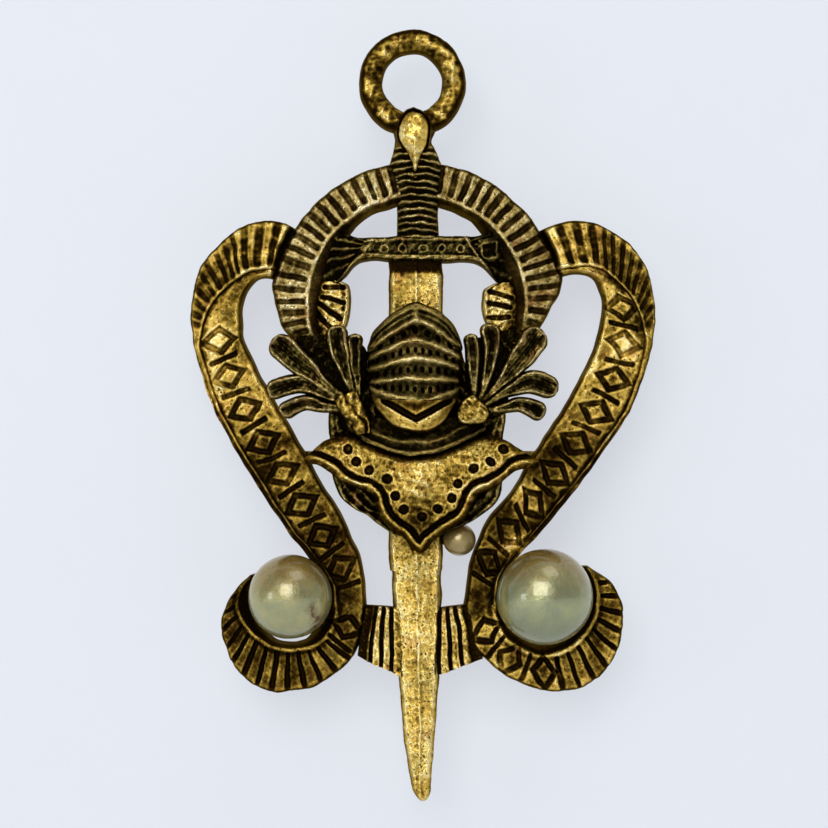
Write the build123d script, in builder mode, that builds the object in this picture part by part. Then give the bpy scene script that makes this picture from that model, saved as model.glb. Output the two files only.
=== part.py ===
from build123d import *
import os
from math import sqrt

os.makedirs("parts", exist_ok=True)

# An upright badge: face towards -Y, +X to the right of somebody looking at it, +Z up.
# The origin is the middle of the hanging ring's bore.

# ---- Driving dimensions, mm ----
BAND = 2.0                     # thickness of the ribbon, ring and curls
BACK_Y = BAND / 2              # the flat back of the ribbon
SWORD_X = 0.35                 # the sword's centre line, right of the ring's centre
RING_BORE = 2.6
RING_OUTER = 4.4
RING_ROUND = 0.35              # rounding of the ring's four edges

GRIP_LOW = 0.9                 # the grip lies in a notch of the arch, this far above the back
GRIP_TOP = 3.0
NECK_TOP = BAND                # flat on which the pommel is seated
POMMEL_U = -0.2
POMMEL_V = -4.6
POMMEL_TOP = 3.7
WRAP_PITCH = 0.58
WRAPS = 9
WRAP_DEPTH = 0.2

GUARD_LOW = 0.5
GUARD_TOP = 2.5
GUARD_PANEL = 0.25             # depth of the sunk panel between the guard's borders
GUARD_DOTS = [-3.3, -2.3, -1.2, 0.0, 1.2, 2.3, 3.6]
GUARD_DOT_V = -14.0
GUARD_DOT = 0.36
GUARD_DOT_BORE = 0.16
BLADE_EDGE = 1.3
BLADE_RIDGE = 2.0

ARCH_V = -18.7                 # centre of the ribbon arch
ARCH_INNER = 8.9
ARCH_OUTER = 11.9
ARCH_START = -8.0              # the arch runs anticlockwise between these angles
ARCH_END = 194.0
RIM = 0.5                      # plain rim inside the ribs
RIB_STEP = 5.5                 # degrees from one groove of the arch to the next
GROOVE = 0.4
GROOVE_DEPTH = 0.35
LOZENGE = 0.9                  # side of the engraved lozenges
LOZENGES = 9
ENGRAVED = 0.25

TAIL_TOP = 1.5
SHIELD_LOW = BLADE_RIDGE
SHIELD_TOP = 2.7
HELM_CROWN = 5.7
PEAK = 0.4                     # how far the skull's peak stands above the crown
HELM_HALF = 4.2                # half the width of the helmet's round section
HELM_U = -0.1
SLOT_ROWS = [-21.25, -22.75, -24.2, -25.8]
SLOT_WIDE = 0.42
SLOT_DEEP = 1.6                # across the vault, centred 3.5 out from its axis
GORGET_CROWN = 4.7
GORGET_HALF = 11.0
GORGET_U = 0.4
ROLL_TOP = 4.0
ROLL_CREASE = 0.4              # depth of the crease between the two neck rolls
PLUME_TOP = 3.9
LEAF_THICK = 0.8
LEAF_LIFT = 0.2                # the leaves start this far above the shield's face
LEAF_ROOT = 0.3                # radius where a leaf springs from the knob
PUNCH = 0.37                   # radius of the punched dots
PUNCH_DEPTH = 0.3

PEARL_LEFT = (-10.6, -43.1, 3.5)     # centre across, centre up, radius
PEARL_RIGHT = (10.8, -43.1, 4.0)
PEARL_SMALL = (3.6, -38.4, 1.375)
POST_THICK = 0.5               # the strips soldered behind the pearls
MOUNT_PEG = 0.7                # radius of the two pegs that hold helmet and gorget
PEG_HEAD = 1.2
PEG_HEAD_THICK = 0.4
PEG_DEPTH = 0.8                # how far a peg reaches into the helmet or gorget
HELMET_PEG_V = -24.3
GORGET_PEG_V = -34.2

# Brooch pin behind the gorget. Depths run backwards from the flat back.
PIN_V = -31.5
BAR_THICK = 0.7
BAR_HALF = 0.5
PIN_DEPTH = 2.3                # the pin's centre line behind the back
PIN_R = 0.35
POINT_R = 0.06
HINGE_U = -11.8
CATCH_U = 12.0
STEM_START = HINGE_U + 0.6     # inside the eye's rim
STEM_END = 10.5                # the stem is round up to here and tapers to its point
POINT_U = CATCH_U + 1.5
PAD_R = 1.6
EYE_R = 0.85
EYE_HALF = 0.4
EAR_R = 0.95
EAR_GAP = 0.5                  # half the gap between the two ears
EAR_THICK = 0.5
RIVET_R = 0.35
RIVET_HEAD = 0.62
RIVET_HEAD_THICK = 0.25
HINGE_CLEARANCE = 0.05
CATCH_OUTER = 1.55
CATCH_INNER = 1.05
CATCH_HALF = 0.7
FOOT_TALL = 0.9
FOOT_WIDE = 2.2
LOCK_OUTER = 1.0
LOCK_BORE = 0.52
LOCK_COLLAR = 0.55
COLLAR_OUTER = 1.25
LOCK_GAP = 0.12
SLOT = 0.94                    # mouth through which the pin swings in and out
TAB_REACH = 2.3
TAB_HALF = 0.3


# ---- Planes and outlines ----
def face(height):
    """A plane parallel to the face, `height` above the back: x along +X from the sword's line, y up."""
    return Plane(origin=(SWORD_X, BACK_Y - height, 0), x_dir=(1, 0, 0), z_dir=(0, -1, 0))


def across(v):
    """A level plane at height v: x along +X from the sword's line, y the height above the back."""
    return Plane(origin=(SWORD_X, BACK_Y, v), x_dir=(1, 0, 0), z_dir=(0, 0, -1))


def plate(low, high, *edges, mode=Mode.ADD):
    """A plate between two heights. Each edge is a run of points, straight for two and a curve for more."""
    with BuildSketch(face(low)) as outline:
        with BuildLine():
            for points in edges:
                if len(points) == 2:
                    Line(*points)
                else:
                    Spline(*points)
        make_face()
    extrude(outline.sketch, amount=high - low, mode=mode)


def polygon(low, high, points, mode=Mode.ADD):
    """A plate between two heights with straight sides."""
    with BuildSketch(face(low)) as outline:
        with BuildLine():
            Polyline(*points, close=True)
        make_face()
    extrude(outline.sketch, amount=high - low, mode=mode)


def disc(low, high, centre, radius, mode=Mode.ADD):
    """A round plate between two heights."""
    with BuildSketch(face(low)) as outline:
        with Locations(centre):
            Circle(radius)
    extrude(outline.sketch, amount=high - low, mode=mode)


def crown(v_top, v_bottom, centre_u, half, base, top):
    """Keeps what lies under a half-elliptical vault that runs down from v_top to v_bottom."""
    with BuildSketch(across(v_top)) as vault:
        with Locations((centre_u, base)):
            Ellipse(half, top - base)
            Rectangle(2 * half, top, align=(Align.CENTER, Align.MAX), mode=Mode.SUBTRACT)
    extrude(vault.sketch, amount=v_top - v_bottom, mode=Mode.INTERSECT)


def radial_grooves(centre, inner, outer, first, last, count, top, depth=GROOVE_DEPTH, width=GROOVE):
    """Cuts grooves that fan out from a centre, from angle `first` to `last`."""
    with BuildSketch(face(top - depth)) as grooves:
        with Locations(centre):
            with PolarLocations((inner + outer) / 2, count, first, last - first, endpoint=True):
                Rectangle(outer - inner, width)
    extrude(grooves.sketch, amount=depth, mode=Mode.SUBTRACT)


def vault_height(u, centre_u, half, base, top):
    """The height of a half-elliptical vault at u."""
    return base + (top - base) * sqrt(1 - ((u - centre_u) / half) ** 2)


def finish(piece, name):
    """Names a piece and writes it."""
    piece.part.label = name
    export_step(piece.part, f"parts/{name}.step")


# ---- Shared edges ----
BLADE_LEFT = [(-2.3, -15.0), (-2.3, -38.5), (-1.9, -44.0), (-1.45, -50.0), (-1.05, -55.0), (-0.4, -58.7)]
BLADE_TIP = [(-0.2, -59.6), (0.1, -60.15), (0.5, -60.3), (0.9, -60.1), (1.1, -59.6)]
BLADE_RIGHT = [(1.2, -58.7), (1.5, -55.0), (1.8, -50.0), (2.0, -44.0), (2.1, -38.5), (2.15, -15.0)]
BROW = [(-4.1, -22.6), (-2.0, -22.1), (0, -21.9), (1.9, -22.1), (3.8, -22.6)]
BEVOR_RIM = [(-3.9, -26.6), (-3.2, -28.0), (-1.6, -29.1), (0.2, -29.4),
             (1.9, -29.0), (3.1, -27.9), (3.5, -26.6)]
NECKLINE = [(-5.0, -29.9), (-2.6, -31.0), (0.1, -31.4), (2.7, -30.9), (5.2, -29.7)]
LEFT_SEAM = [(-5.2, -48.0), (-4.4, -44.0)]       # where a curl meets its link band
RIGHT_SEAM = [(4.2, -44.0), (5.2, -48.3)]

# ---- Ring and sword ----
with BuildPart() as hanging_ring:
    with BuildSketch(face(0)):
        with Locations((-SWORD_X, 0)):
            Circle(RING_OUTER)
            Circle(RING_BORE, mode=Mode.SUBTRACT)
    extrude(amount=BAND)
    fillet(hanging_ring.edges().filter_by(GeomType.CIRCLE), RING_ROUND)
finish(hanging_ring, "hanging_ring")

GRIP_OUTLINE = [(-1.9, -4.0), (-1.25, -5.1), (-2.0, -7.4), (-1.6, -11.0), (-1.6, -13.0),
                (1.75, -13.0), (1.75, -11.0), (1.9, -7.4), (1.25, -5.1), (1.5, -4.0)]
with BuildPart() as grip:
    polygon(GRIP_LOW, GRIP_TOP, GRIP_OUTLINE)
    crown(-3.5, -13.5, 0, 3.0, GRIP_LOW, GRIP_TOP)
    disc(0, POMMEL_TOP, (-SWORD_X, 0), RING_OUTER, mode=Mode.SUBTRACT)
    polygon(NECK_TOP, GRIP_TOP, [(-3, -4), (-3, -7.4), (3, -7.4), (3, -4)], mode=Mode.SUBTRACT)
    with BuildSketch(face(GRIP_TOP - WRAP_DEPTH)):
        with Locations((0, -7.9 - WRAP_PITCH * (WRAPS - 1) / 2)):
            with GridLocations(1, WRAP_PITCH, 1, WRAPS):
                Rectangle(5, WRAP_PITCH / 3)
    extrude(amount=2 * WRAP_DEPTH, mode=Mode.SUBTRACT)
finish(grip, "grip")

TEARDROP = [(0, -2.7), (0.6, -1.7), (1.25, -0.2), (1.0, 1.3), (0, 2.1)]
with BuildPart() as pommel:
    for height, share in [(NECK_TOP, 1.0), (NECK_TOP + 0.9, 0.8), (POMMEL_TOP, 0.35)]:
        with BuildSketch(face(height)):
            with BuildLine():
                for side in (-1, 1):
                    Spline(*[(POMMEL_U + side * u * share, POMMEL_V + v * share) for u, v in TEARDROP])
            make_face()
    loft()
finish(pommel, "pommel")

with BuildPart() as crossguard:
    plate(
        GUARD_LOW,
        GUARD_TOP,
        [(-6.6, -12.7), (-5.0, -13.1), (0, -13.0), (5.6, -13.0), (7.3, -12.6)],
        [(7.3, -12.6), (7.4, -16.0)],
        [(7.4, -16.0), (5.4, -15.0)],
        [(5.4, -15.0), (-5.0, -15.0)],
        [(-5.0, -15.0), (-6.7, -16.3)],
        [(-6.7, -16.3), (-6.6, -12.7)],
    )
    disc(0, GUARD_TOP, (0, ARCH_V), ARCH_INNER, mode=Mode.INTERSECT)
    sunk_panel = [(-5.4, -13.5), (5.6, -13.45), (5.6, -14.6), (-5.4, -14.6)]
    polygon(GUARD_TOP - GUARD_PANEL, GUARD_TOP, sunk_panel, mode=Mode.SUBTRACT)
    with BuildSketch(face(GUARD_TOP - GUARD_PANEL)):
        with Locations(*[(u, GUARD_DOT_V) for u in GUARD_DOTS]):
            Circle(GUARD_DOT)
            Circle(GUARD_DOT_BORE, mode=Mode.SUBTRACT)
    extrude(amount=GUARD_PANEL)
    polygon(0, GUARD_TOP, [(-1.6, -12.0), (-1.6, -13.0), (1.75, -13.0), (1.75, -12.0)], mode=Mode.SUBTRACT)
finish(crossguard, "crossguard")

with BuildPart() as blade:
    polygon(0, BLADE_RIDGE, BLADE_LEFT + BLADE_TIP + BLADE_RIGHT)
    with BuildSketch(across(-14.5)):
        with BuildLine():
            low = BLADE_EDGE - 0.2
            Polyline((-3, 0), (3, 0), (3, low), (0.1, BLADE_RIDGE), (-3, low), close=True)
        make_face()
    extrude(amount=47, mode=Mode.INTERSECT)
    for peg_v in (HELMET_PEG_V, GORGET_PEG_V):
        disc(0, BLADE_RIDGE, (0, peg_v), MOUNT_PEG, mode=Mode.SUBTRACT)
finish(blade, "blade")

# ---- Ribbon ----
with BuildPart() as ribbon_arch:
    disc(0, BAND, (0, ARCH_V), ARCH_OUTER)
    disc(0, BAND, (0, ARCH_V), ARCH_INNER, mode=Mode.SUBTRACT)
    polygon(0, BAND, [(0, ARCH_V), (-16, -22.7), (-16, -34), (16, -34), (16, -21.0)], mode=Mode.SUBTRACT)
    for side in (-1, 1):
        lean = 90 - side * 15
        far = ARCH_START if side == 1 else ARCH_END
        count = int(abs(far - lean) / RIB_STEP)
        last = lean - side * count * RIB_STEP
        first, last = min(lean, last), max(lean, last)
        radial_grooves((0, ARCH_V), ARCH_INNER + RIM, ARCH_OUTER + 0.3, first, last, count, BAND)
    polygon(GRIP_LOW, BAND, [(-2.3, -5.5), (-2.3, -11.0), (2.3, -11.0), (2.3, -5.5)], mode=Mode.SUBTRACT)
finish(ribbon_arch, "ribbon_arch")


def scroll(start, outer, inner, fold_centre, fold_from, fold_to, spine):
    """One long side of the ribbon, ribbed where it folds at the top and engraved below with lozenges."""
    plate(0, BAND, outer, [outer[-1], inner[0]], inner, [inner[-1], start], [start, outer[0]])
    disc(0, BAND, (0, ARCH_V), ARCH_OUTER, mode=Mode.SUBTRACT)
    radial_grooves(fold_centre, 3.6, 8.0, fold_from, fold_to, 12, BAND)
    with BuildLine(face(BAND - ENGRAVED)):
        run = Spline(*spine)
    for step in range(LOZENGES):
        place = run @ (step / (LOZENGES - 1))
        with BuildSketch(Plane(origin=place, x_dir=(1, 0, 0), z_dir=(0, -1, 0))) as mark:
            Rectangle(LOZENGE, LOZENGE, rotation=45)
            Rectangle(LOZENGE / 2, LOZENGE / 2, rotation=45, mode=Mode.SUBTRACT)
        extrude(mark.sketch, amount=ENGRAVED, mode=Mode.SUBTRACT)


with BuildPart() as ribbon_scroll_left:
    scroll(
        start=(-9.0, -15.0),
        outer=[(-9.0, -12.6), (-12.0, -11.7), (-14.0, -11.9), (-16.0, -13.1), (-18.0, -15.3),
               (-18.9, -19.5), (-18.3, -23.0), (-16.9, -27.3), (-14.2, -32.0), (-11.0, -36.8),
               (-8.0, -40.6), (-7.0, -44.0)],
        inner=[(-4.4, -44.0), (-4.55, -41.5), (-5.7, -38.2), (-8.0, -34.0), (-9.9, -30.5), (-13.0, -25.2),
               (-14.5, -22.0), (-14.95, -19.0), (-14.0, -16.7), (-13.0, -16.0), (-11.0, -16.6)],
        fold_centre=(-13.2, -18.6),
        fold_from=62,
        fold_to=168,
        spine=[(-16.6, -20.5), (-15.0, -26.0), (-11.7, -32.0), (-8.5, -36.8), (-6.0, -42.0)],
    )
finish(ribbon_scroll_left, "ribbon_scroll_left")

with BuildPart() as ribbon_scroll_right:
    scroll(
        start=(9.0, -15.0),
        outer=[(9.0, -13.2), (10.5, -12.5), (13.3, -11.7), (16.0, -12.4), (18.5, -14.4), (20.0, -19.5),
               (19.3, -23.5), (17.0, -28.7), (14.7, -32.0), (11.8, -35.6), (7.8, -40.0), (6.8, -44.0)],
        inner=[(4.2, -44.0), (4.7, -40.3), (6.5, -36.3), (9.8, -31.5), (12.8, -26.9), (15.2, -22.0),
               (15.8, -19.0), (15.4, -16.6), (14.0, -15.65), (11.0, -16.4)],
        fold_centre=(13.9, -18.4),
        fold_from=14,
        fold_to=118,
        spine=[(17.6, -20.0), (16.0, -25.6), (12.3, -31.8), (8.6, -36.5), (5.9, -42.0)],
    )
finish(ribbon_scroll_right, "ribbon_scroll_right")

with BuildPart() as ribbon_curl_left:
    plate(
        0,
        BAND,
        [(-4.4, -44.0), (-5.2, -48.0)],
        [(-5.2, -48.0), (-7.0, -49.6), (-9.0, -50.7), (-12.0, -51.0), (-14.4, -49.9), (-15.9, -47.7),
         (-16.3, -45.0), (-15.4, -43.0), (-13.9, -41.4)],
        [(-13.9, -41.4), (-14.3, -42.2)],
        [(-14.3, -42.2), (-14.75, -43.5), (-14.4, -44.8), (-12.6, -46.8), (-10.5, -47.4),
         (-8.0, -46.6), (-7.0, -44.0)],
        [(-7.0, -44.0), (-4.4, -44.0)],
    )
    radial_grooves(PEARL_LEFT[:2], 4.9, 9.6, 190, 318, 14, BAND)
finish(ribbon_curl_left, "ribbon_curl_left")

with BuildPart() as ribbon_curl_right:
    plate(
        0,
        BAND,
        RIGHT_SEAM,
        [(5.2, -48.3), (7.0, -49.4), (9.3, -50.6), (12.5, -51.1), (15.2, -49.9), (16.9, -47.3),
         (17.2, -44.3), (16.2, -42.0), (14.5, -40.8)],
        [(14.5, -40.8), (14.95, -41.9)],
        [(14.95, -41.9), (15.1, -43.4), (14.2, -45.8), (12.0, -47.6), (9.3, -47.6),
         (7.2, -45.7), (6.8, -44.0)],
        [(6.8, -44.0), (4.2, -44.0)],
    )
    radial_grooves(PEARL_RIGHT[:2], 5.0, 9.6, 226, 378, 15, BAND)
finish(ribbon_curl_right, "ribbon_curl_right")

for name, seam, bottom, blade_side, top, fan in [
    ("link_band_left", LEFT_SEAM[::-1], [(-5.2, -48.0), (-4.0, -48.9), (-2.6, -49.4), (-1.45, -50.0)],
     [(-1.45, -50.0), (-1.9, -44.0)], [(-1.9, -44.0), (-4.4, -44.0)], (-3.4, -20.0)),
    ("link_band_right", RIGHT_SEAM, [(5.2, -48.3), (4.2, -48.8), (3.0, -49.3), (1.8, -50.0)],
     [(1.8, -50.0), (2.0, -44.0)], [(2.0, -44.0), (4.2, -44.0)], (3.3, -20.0)),
]:
    with BuildPart() as link_band:
        plate(0, BAND, seam, bottom, blade_side, top)
        radial_grooves(fan, 23.0, 32.0, 267.5, 272.5, 3, BAND, depth=GROOVE_DEPTH, width=0.3)
    finish(link_band, name)

for name, side, tip_v in [("ribbon_tail_left", -1, -20.9), ("ribbon_tail_right", 1, -20.5)]:
    with BuildPart() as tail:
        plate(
            0,
            TAIL_TOP,
            [(side * 9.3, -16.8), (side * 7.4, -16.8), (side * 5.9, -17.6), (side * 5.6, -18.7),
             (side * 6.1, -19.9), (side * 7.3, tip_v + 0.1), (side * 9.3, tip_v)],
            [(side * 9.3, tip_v), (side * 9.3, -16.8)],
        )
        disc(0, TAIL_TOP, (0, ARCH_V), ARCH_INNER, mode=Mode.INTERSECT)
        with BuildSketch(face(TAIL_TOP - GROOVE_DEPTH)):
            with Locations((side * 7.6, -18.8)):
                with GridLocations(1, 0.8, 1, 4):
                    Rectangle(3.2, 0.3, rotation=side * 14)
        extrude(amount=GROOVE_DEPTH, mode=Mode.SUBTRACT)
    finish(tail, name)

# ---- Shield, helmet and gorget ----
with BuildPart() as backing_shield:
    polygon(
        SHIELD_LOW,
        SHIELD_TOP,
        [(-3.0, -20.6), (-4.4, -24.6), (-7.1, -27.2), (-7.1, -32.0), (-6.5, -34.3), (-5.0, -35.9),
         (-3.0, -37.0), (0, -38.4), (3.0, -37.5), (5.0, -36.6), (6.6, -35.2), (7.2, -33.0),
         (7.2, -27.2), (4.4, -24.6), (3.0, -20.6)],
    )
    for peg_v in (HELMET_PEG_V, GORGET_PEG_V):
        disc(SHIELD_LOW, SHIELD_TOP, (0, peg_v), MOUNT_PEG, mode=Mode.SUBTRACT)
    disc(SHIELD_LOW, SHIELD_TOP, PEARL_SMALL[:2], PEARL_SMALL[2] + 0.1, mode=Mode.SUBTRACT)
finish(backing_shield, "backing_shield")


def slots(v, height=0.5):
    """A row of sight slots round the helmet's vault."""
    with BuildSketch(across(v + height / 2)) as row:
        with Locations((HELM_U, SHIELD_TOP)):
            with PolarLocations(3.5, 9, 24, 132, endpoint=True):
                Rectangle(SLOT_DEEP, SLOT_WIDE)
    extrude(row.sketch, amount=height, mode=Mode.SUBTRACT)


def helmet_vault():
    """Rounds a helmet plate to the helmet's barrel."""
    crown(-18.0, -30.0, HELM_U, HELM_HALF, SHIELD_TOP, HELM_CROWN)


with BuildPart() as helmet_skull:
    plate(
        SHIELD_TOP,
        HELM_CROWN,
        [(-4.1, -22.6), (-3.6, -21.0), (-2.2, -19.6), (0, -18.6), (2.2, -19.6), (3.3, -21.0), (3.8, -22.6)],
        BROW[::-1],
    )
    helmet_vault()
    slots(SLOT_ROWS[0], 0.45)
    peak = [(0, -18.9), (0.4, -20.0), (0, -20.9), (-0.4, -20.0)]
    polygon(SHIELD_TOP, HELM_CROWN + PEAK, peak)
finish(helmet_skull, "helmet_skull")

with BuildPart() as helmet_visor:
    plate(
        SHIELD_TOP,
        HELM_CROWN,
        BROW,
        [(3.8, -22.6), (3.5, -26.6)],
        [(3.5, -26.6), (-3.9, -26.6)],
        [(-3.9, -26.6), (-4.1, -22.6)],
    )
    helmet_vault()
    for v in SLOT_ROWS[1:]:
        slots(v)
    disc(SHIELD_TOP, SHIELD_TOP + PEG_DEPTH, (0, HELMET_PEG_V), MOUNT_PEG, mode=Mode.SUBTRACT)
finish(helmet_visor, "helmet_visor")

with BuildPart() as helmet_bevor:
    plate(SHIELD_TOP, HELM_CROWN, BEVOR_RIM, [(3.5, -26.6), (-3.9, -26.6)])
    helmet_vault()
    with BuildSketch(face(SHIELD_TOP + 1.6)) as crease:
        with BuildLine():
            Polyline((-2.6, -26.9), (0.1, -27.9), (2.6, -26.8),
                     (2.6, -27.1), (0.1, -28.25), (-2.6, -27.2), close=True)
        make_face()
    extrude(crease.sketch, amount=HELM_CROWN - SHIELD_TOP, mode=Mode.SUBTRACT)
finish(helmet_bevor, "helmet_bevor")

with BuildPart() as neck_roll:
    plate(
        SHIELD_TOP,
        ROLL_TOP,
        BEVOR_RIM,
        [(3.5, -26.6), (5.2, -29.7)],
        NECKLINE[::-1],
        [(-5.0, -29.9), (-3.9, -26.6)],
    )
    crease_low = [(u * 0.93, v + 0.6) for u, v in NECKLINE]
    crease_high = [(u * 0.93, v + 0.95) for u, v in NECKLINE[::-1]]
    plate(
        ROLL_TOP - ROLL_CREASE,
        ROLL_TOP,
        crease_low,
        [crease_low[-1], crease_high[0]],
        crease_high,
        [crease_high[-1], crease_low[0]],
        mode=Mode.SUBTRACT,
    )
finish(neck_roll, "neck_roll")

GORGET_DOTS = [(-5.7, -30.8), (-5.0, -31.75), (-3.9, -32.45), (-2.4, -33.2), (-1.8, -34.6),
               (-1.0, -35.7), (0.45, -36.35), (1.75, -35.7), (2.9, -34.8), (3.4, -33.6),
               (4.7, -32.4), (6.1, -31.8), (7.2, -30.8)]
with BuildPart() as gorget:
    plate(
        SHIELD_TOP,
        GORGET_CROWN,
        NECKLINE,
        [(5.2, -29.7), (7.5, -30.1), (10.1, -32.0)],
        [(10.1, -32.0), (7.8, -32.8), (6.0, -34.2), (4.9, -34.6)],
        [(4.9, -34.6), (4.5, -35.8), (2.5, -37.6), (0.3, -39.3)],
        [(0.3, -39.3), (-1.5, -37.8), (-3.2, -36.0), (-3.6, -34.8)],
        [(-3.6, -34.8), (-5.0, -34.0), (-7.0, -32.8), (-9.2, -31.7)],
        [(-9.2, -31.7), (-7.0, -29.9), (-5.0, -29.9)],
    )
    crown(-29.0, -40.0, GORGET_U, GORGET_HALF, SHIELD_TOP, GORGET_CROWN)
    for u, v in GORGET_DOTS:
        surface = vault_height(u, GORGET_U, GORGET_HALF, SHIELD_TOP, GORGET_CROWN)
        disc(surface - PUNCH_DEPTH, GORGET_CROWN, (u, v), PUNCH, mode=Mode.SUBTRACT)
    disc(SHIELD_TOP, SHIELD_TOP + PEG_DEPTH, (0, GORGET_PEG_V), MOUNT_PEG, mode=Mode.SUBTRACT)
finish(gorget, "gorget")

PLUMES = [
    ("plume_left", (-5.0, -26.6), 0.9,
     [(-11.8, -21.8, 0.9), (-7.0, -20.9, 0.6), (-5.3, -21.7, 0.5), (-12.3, -25.6, 0.6),
      (-11.0, -27.7, 0.5)],
     [(-4.15, -19), (-4.15, -26.6), (-5.05, -29.9), (0, -30), (0, -19)]),
    ("plume_right", (4.8, -27.3), 1.2,
     [(4.6, -21.7, 0.5), (6.2, -20.8, 0.55), (10.4, -21.5, 1.0), (11.4, -26.0, 0.8), (10.3, -27.8, 0.55)],
     [(3.85, -19), (3.85, -26.6), (5.25, -29.7), (0, -30), (0, -19)]),
]
for name, root, knob, leaves, helmet_side in PLUMES:
    with BuildPart() as plume:
        disc(SHIELD_TOP, PLUME_TOP, root, knob)
        for u, v, tip in leaves:
            with BuildSketch(face(SHIELD_TOP + LEAF_LIFT)) as leaf:
                with Locations(root):
                    Circle(LEAF_ROOT)
                with Locations((u, v)):
                    Circle(tip)
                make_hull()
            extrude(leaf.sketch, amount=LEAF_THICK)
        polygon(SHIELD_TOP, PLUME_TOP, helmet_side, mode=Mode.SUBTRACT)
    finish(plume, name)

# ---- Pearls on their posts, and the two pegs ----
for name, (u, v, radius), peg, strip in [
    ("left", PEARL_LEFT, 0.45,
     [(-15.5, -45.2), (-15.2, -43.6), (-10.6, -42.1), (-5.6, -42.4), (-5.6, -44.2), (-10.6, -44.4)]),
    ("right", PEARL_RIGHT, 0.45, [(5.4, -44.0), (16.2, -44.4), (16.0, -42.7), (10.8, -42.0), (5.4, -42.6)]),
    ("small", PEARL_SMALL, 0.3, [(0.6, -38.9), (4.2, -38.9), (4.2, -37.9), (0.6, -37.9)]),
]:
    with BuildPart() as post:
        polygon(-POST_THICK, 0, strip)
        disc(0, radius, (u, v), peg)
    finish(post, f"pearl_post_{name}")
    with BuildPart() as pearl:
        with Locations(face(radius)):
            with Locations((u, v)):
                Sphere(radius)
        disc(-0.1, radius, (u, v), peg, mode=Mode.SUBTRACT)
    finish(pearl, f"pearl_{name}")

for name, peg_v in [("helmet_peg", HELMET_PEG_V), ("gorget_peg", GORGET_PEG_V)]:
    with BuildPart() as mount_peg:
        disc(-PEG_HEAD_THICK, 0, (0, peg_v), PEG_HEAD)
        disc(0, SHIELD_TOP + PEG_DEPTH, (0, peg_v), MOUNT_PEG)
    finish(mount_peg, name)

# ---- Brooch pin on the back ----
def pin_section(u):
    """A plane across the pin's line: x along +Y, away from the badge, and y along +Z."""
    return Plane(origin=(SWORD_X + u, BACK_Y + PIN_DEPTH, PIN_V), x_dir=(0, 1, 0), z_dir=(1, 0, 0))


with BuildPart() as pin_bar:
    polygon(-BAR_THICK, 0, [(HINGE_U, PIN_V - BAR_HALF), (CATCH_U, PIN_V - BAR_HALF),
                            (CATCH_U, PIN_V + BAR_HALF), (HINGE_U, PIN_V + BAR_HALF)])
    for end in (HINGE_U, CATCH_U):
        disc(-BAR_THICK, 0, (end, PIN_V), PAD_R)
finish(pin_bar, "pin_bar")

with BuildPart() as hinge_ears:
    for low_v in (PIN_V - EAR_GAP - EAR_THICK, PIN_V + EAR_GAP):
        with BuildSketch(across(low_v + EAR_THICK)) as ear:
            with Locations((HINGE_U, -PIN_DEPTH)):
                Circle(EAR_R)
                Rectangle(2 * EAR_R, PIN_DEPTH - BAR_THICK, align=(Align.CENTER, Align.MIN))
                Circle(RIVET_R, mode=Mode.SUBTRACT)
        extrude(ear.sketch, amount=EAR_THICK)
finish(hinge_ears, "hinge_ears")

with BuildPart() as hinge_rivet:
    head = EAR_GAP + EAR_THICK
    for top, length, radius in [
        (PIN_V + head + RIVET_HEAD_THICK, RIVET_HEAD_THICK, RIVET_HEAD),
        (PIN_V + head, 2 * head, RIVET_R),
        (PIN_V - head, RIVET_HEAD_THICK, RIVET_HEAD),
    ]:
        with BuildSketch(across(top)) as shank:
            with Locations((HINGE_U, -PIN_DEPTH)):
                Circle(radius)
        extrude(shank.sketch, amount=length)
finish(hinge_rivet, "hinge_rivet")

with BuildPart() as pin_wire:
    with BuildSketch(across(PIN_V + EYE_HALF)) as eye:
        with Locations((HINGE_U, -PIN_DEPTH)):
            Circle(EYE_R)
            Circle(RIVET_R + HINGE_CLEARANCE, mode=Mode.SUBTRACT)
    extrude(eye.sketch, amount=2 * EYE_HALF)
    with BuildSketch(pin_section(STEM_START)) as stem:
        Circle(PIN_R)
    extrude(stem.sketch, amount=STEM_END - STEM_START)
    with BuildSketch(pin_section(STEM_END)) as taper:
        Circle(PIN_R)
    with BuildSketch(pin_section(POINT_U)) as point:
        Circle(POINT_R)
    loft([taper.sketch, point.sketch])
finish(pin_wire, "pin_wire")


def c_ring(start_u, length, outer, inner):
    """A sleeve round the pin's line, open towards the back so that the pin can swing out."""
    with BuildSketch(pin_section(start_u)) as sleeve:
        Circle(outer)
        Circle(inner, mode=Mode.SUBTRACT)
        Rectangle(2 * outer, SLOT, align=(Align.MIN, Align.CENTER), mode=Mode.SUBTRACT)
    extrude(sleeve.sketch, amount=length)


with BuildPart() as catch_housing:
    c_ring(CATCH_U - CATCH_HALF, 2 * CATCH_HALF, CATCH_OUTER, CATCH_INNER)
    with BuildSketch(pin_section(CATCH_U - CATCH_HALF)) as foot:
        with Locations((-(PIN_DEPTH - BAR_THICK), 0)):
            Rectangle(FOOT_TALL, FOOT_WIDE, align=(Align.MIN, Align.CENTER))
        Circle(CATCH_INNER, mode=Mode.SUBTRACT)
    extrude(foot.sketch, amount=2 * CATCH_HALF)
finish(catch_housing, "catch_housing")

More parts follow.
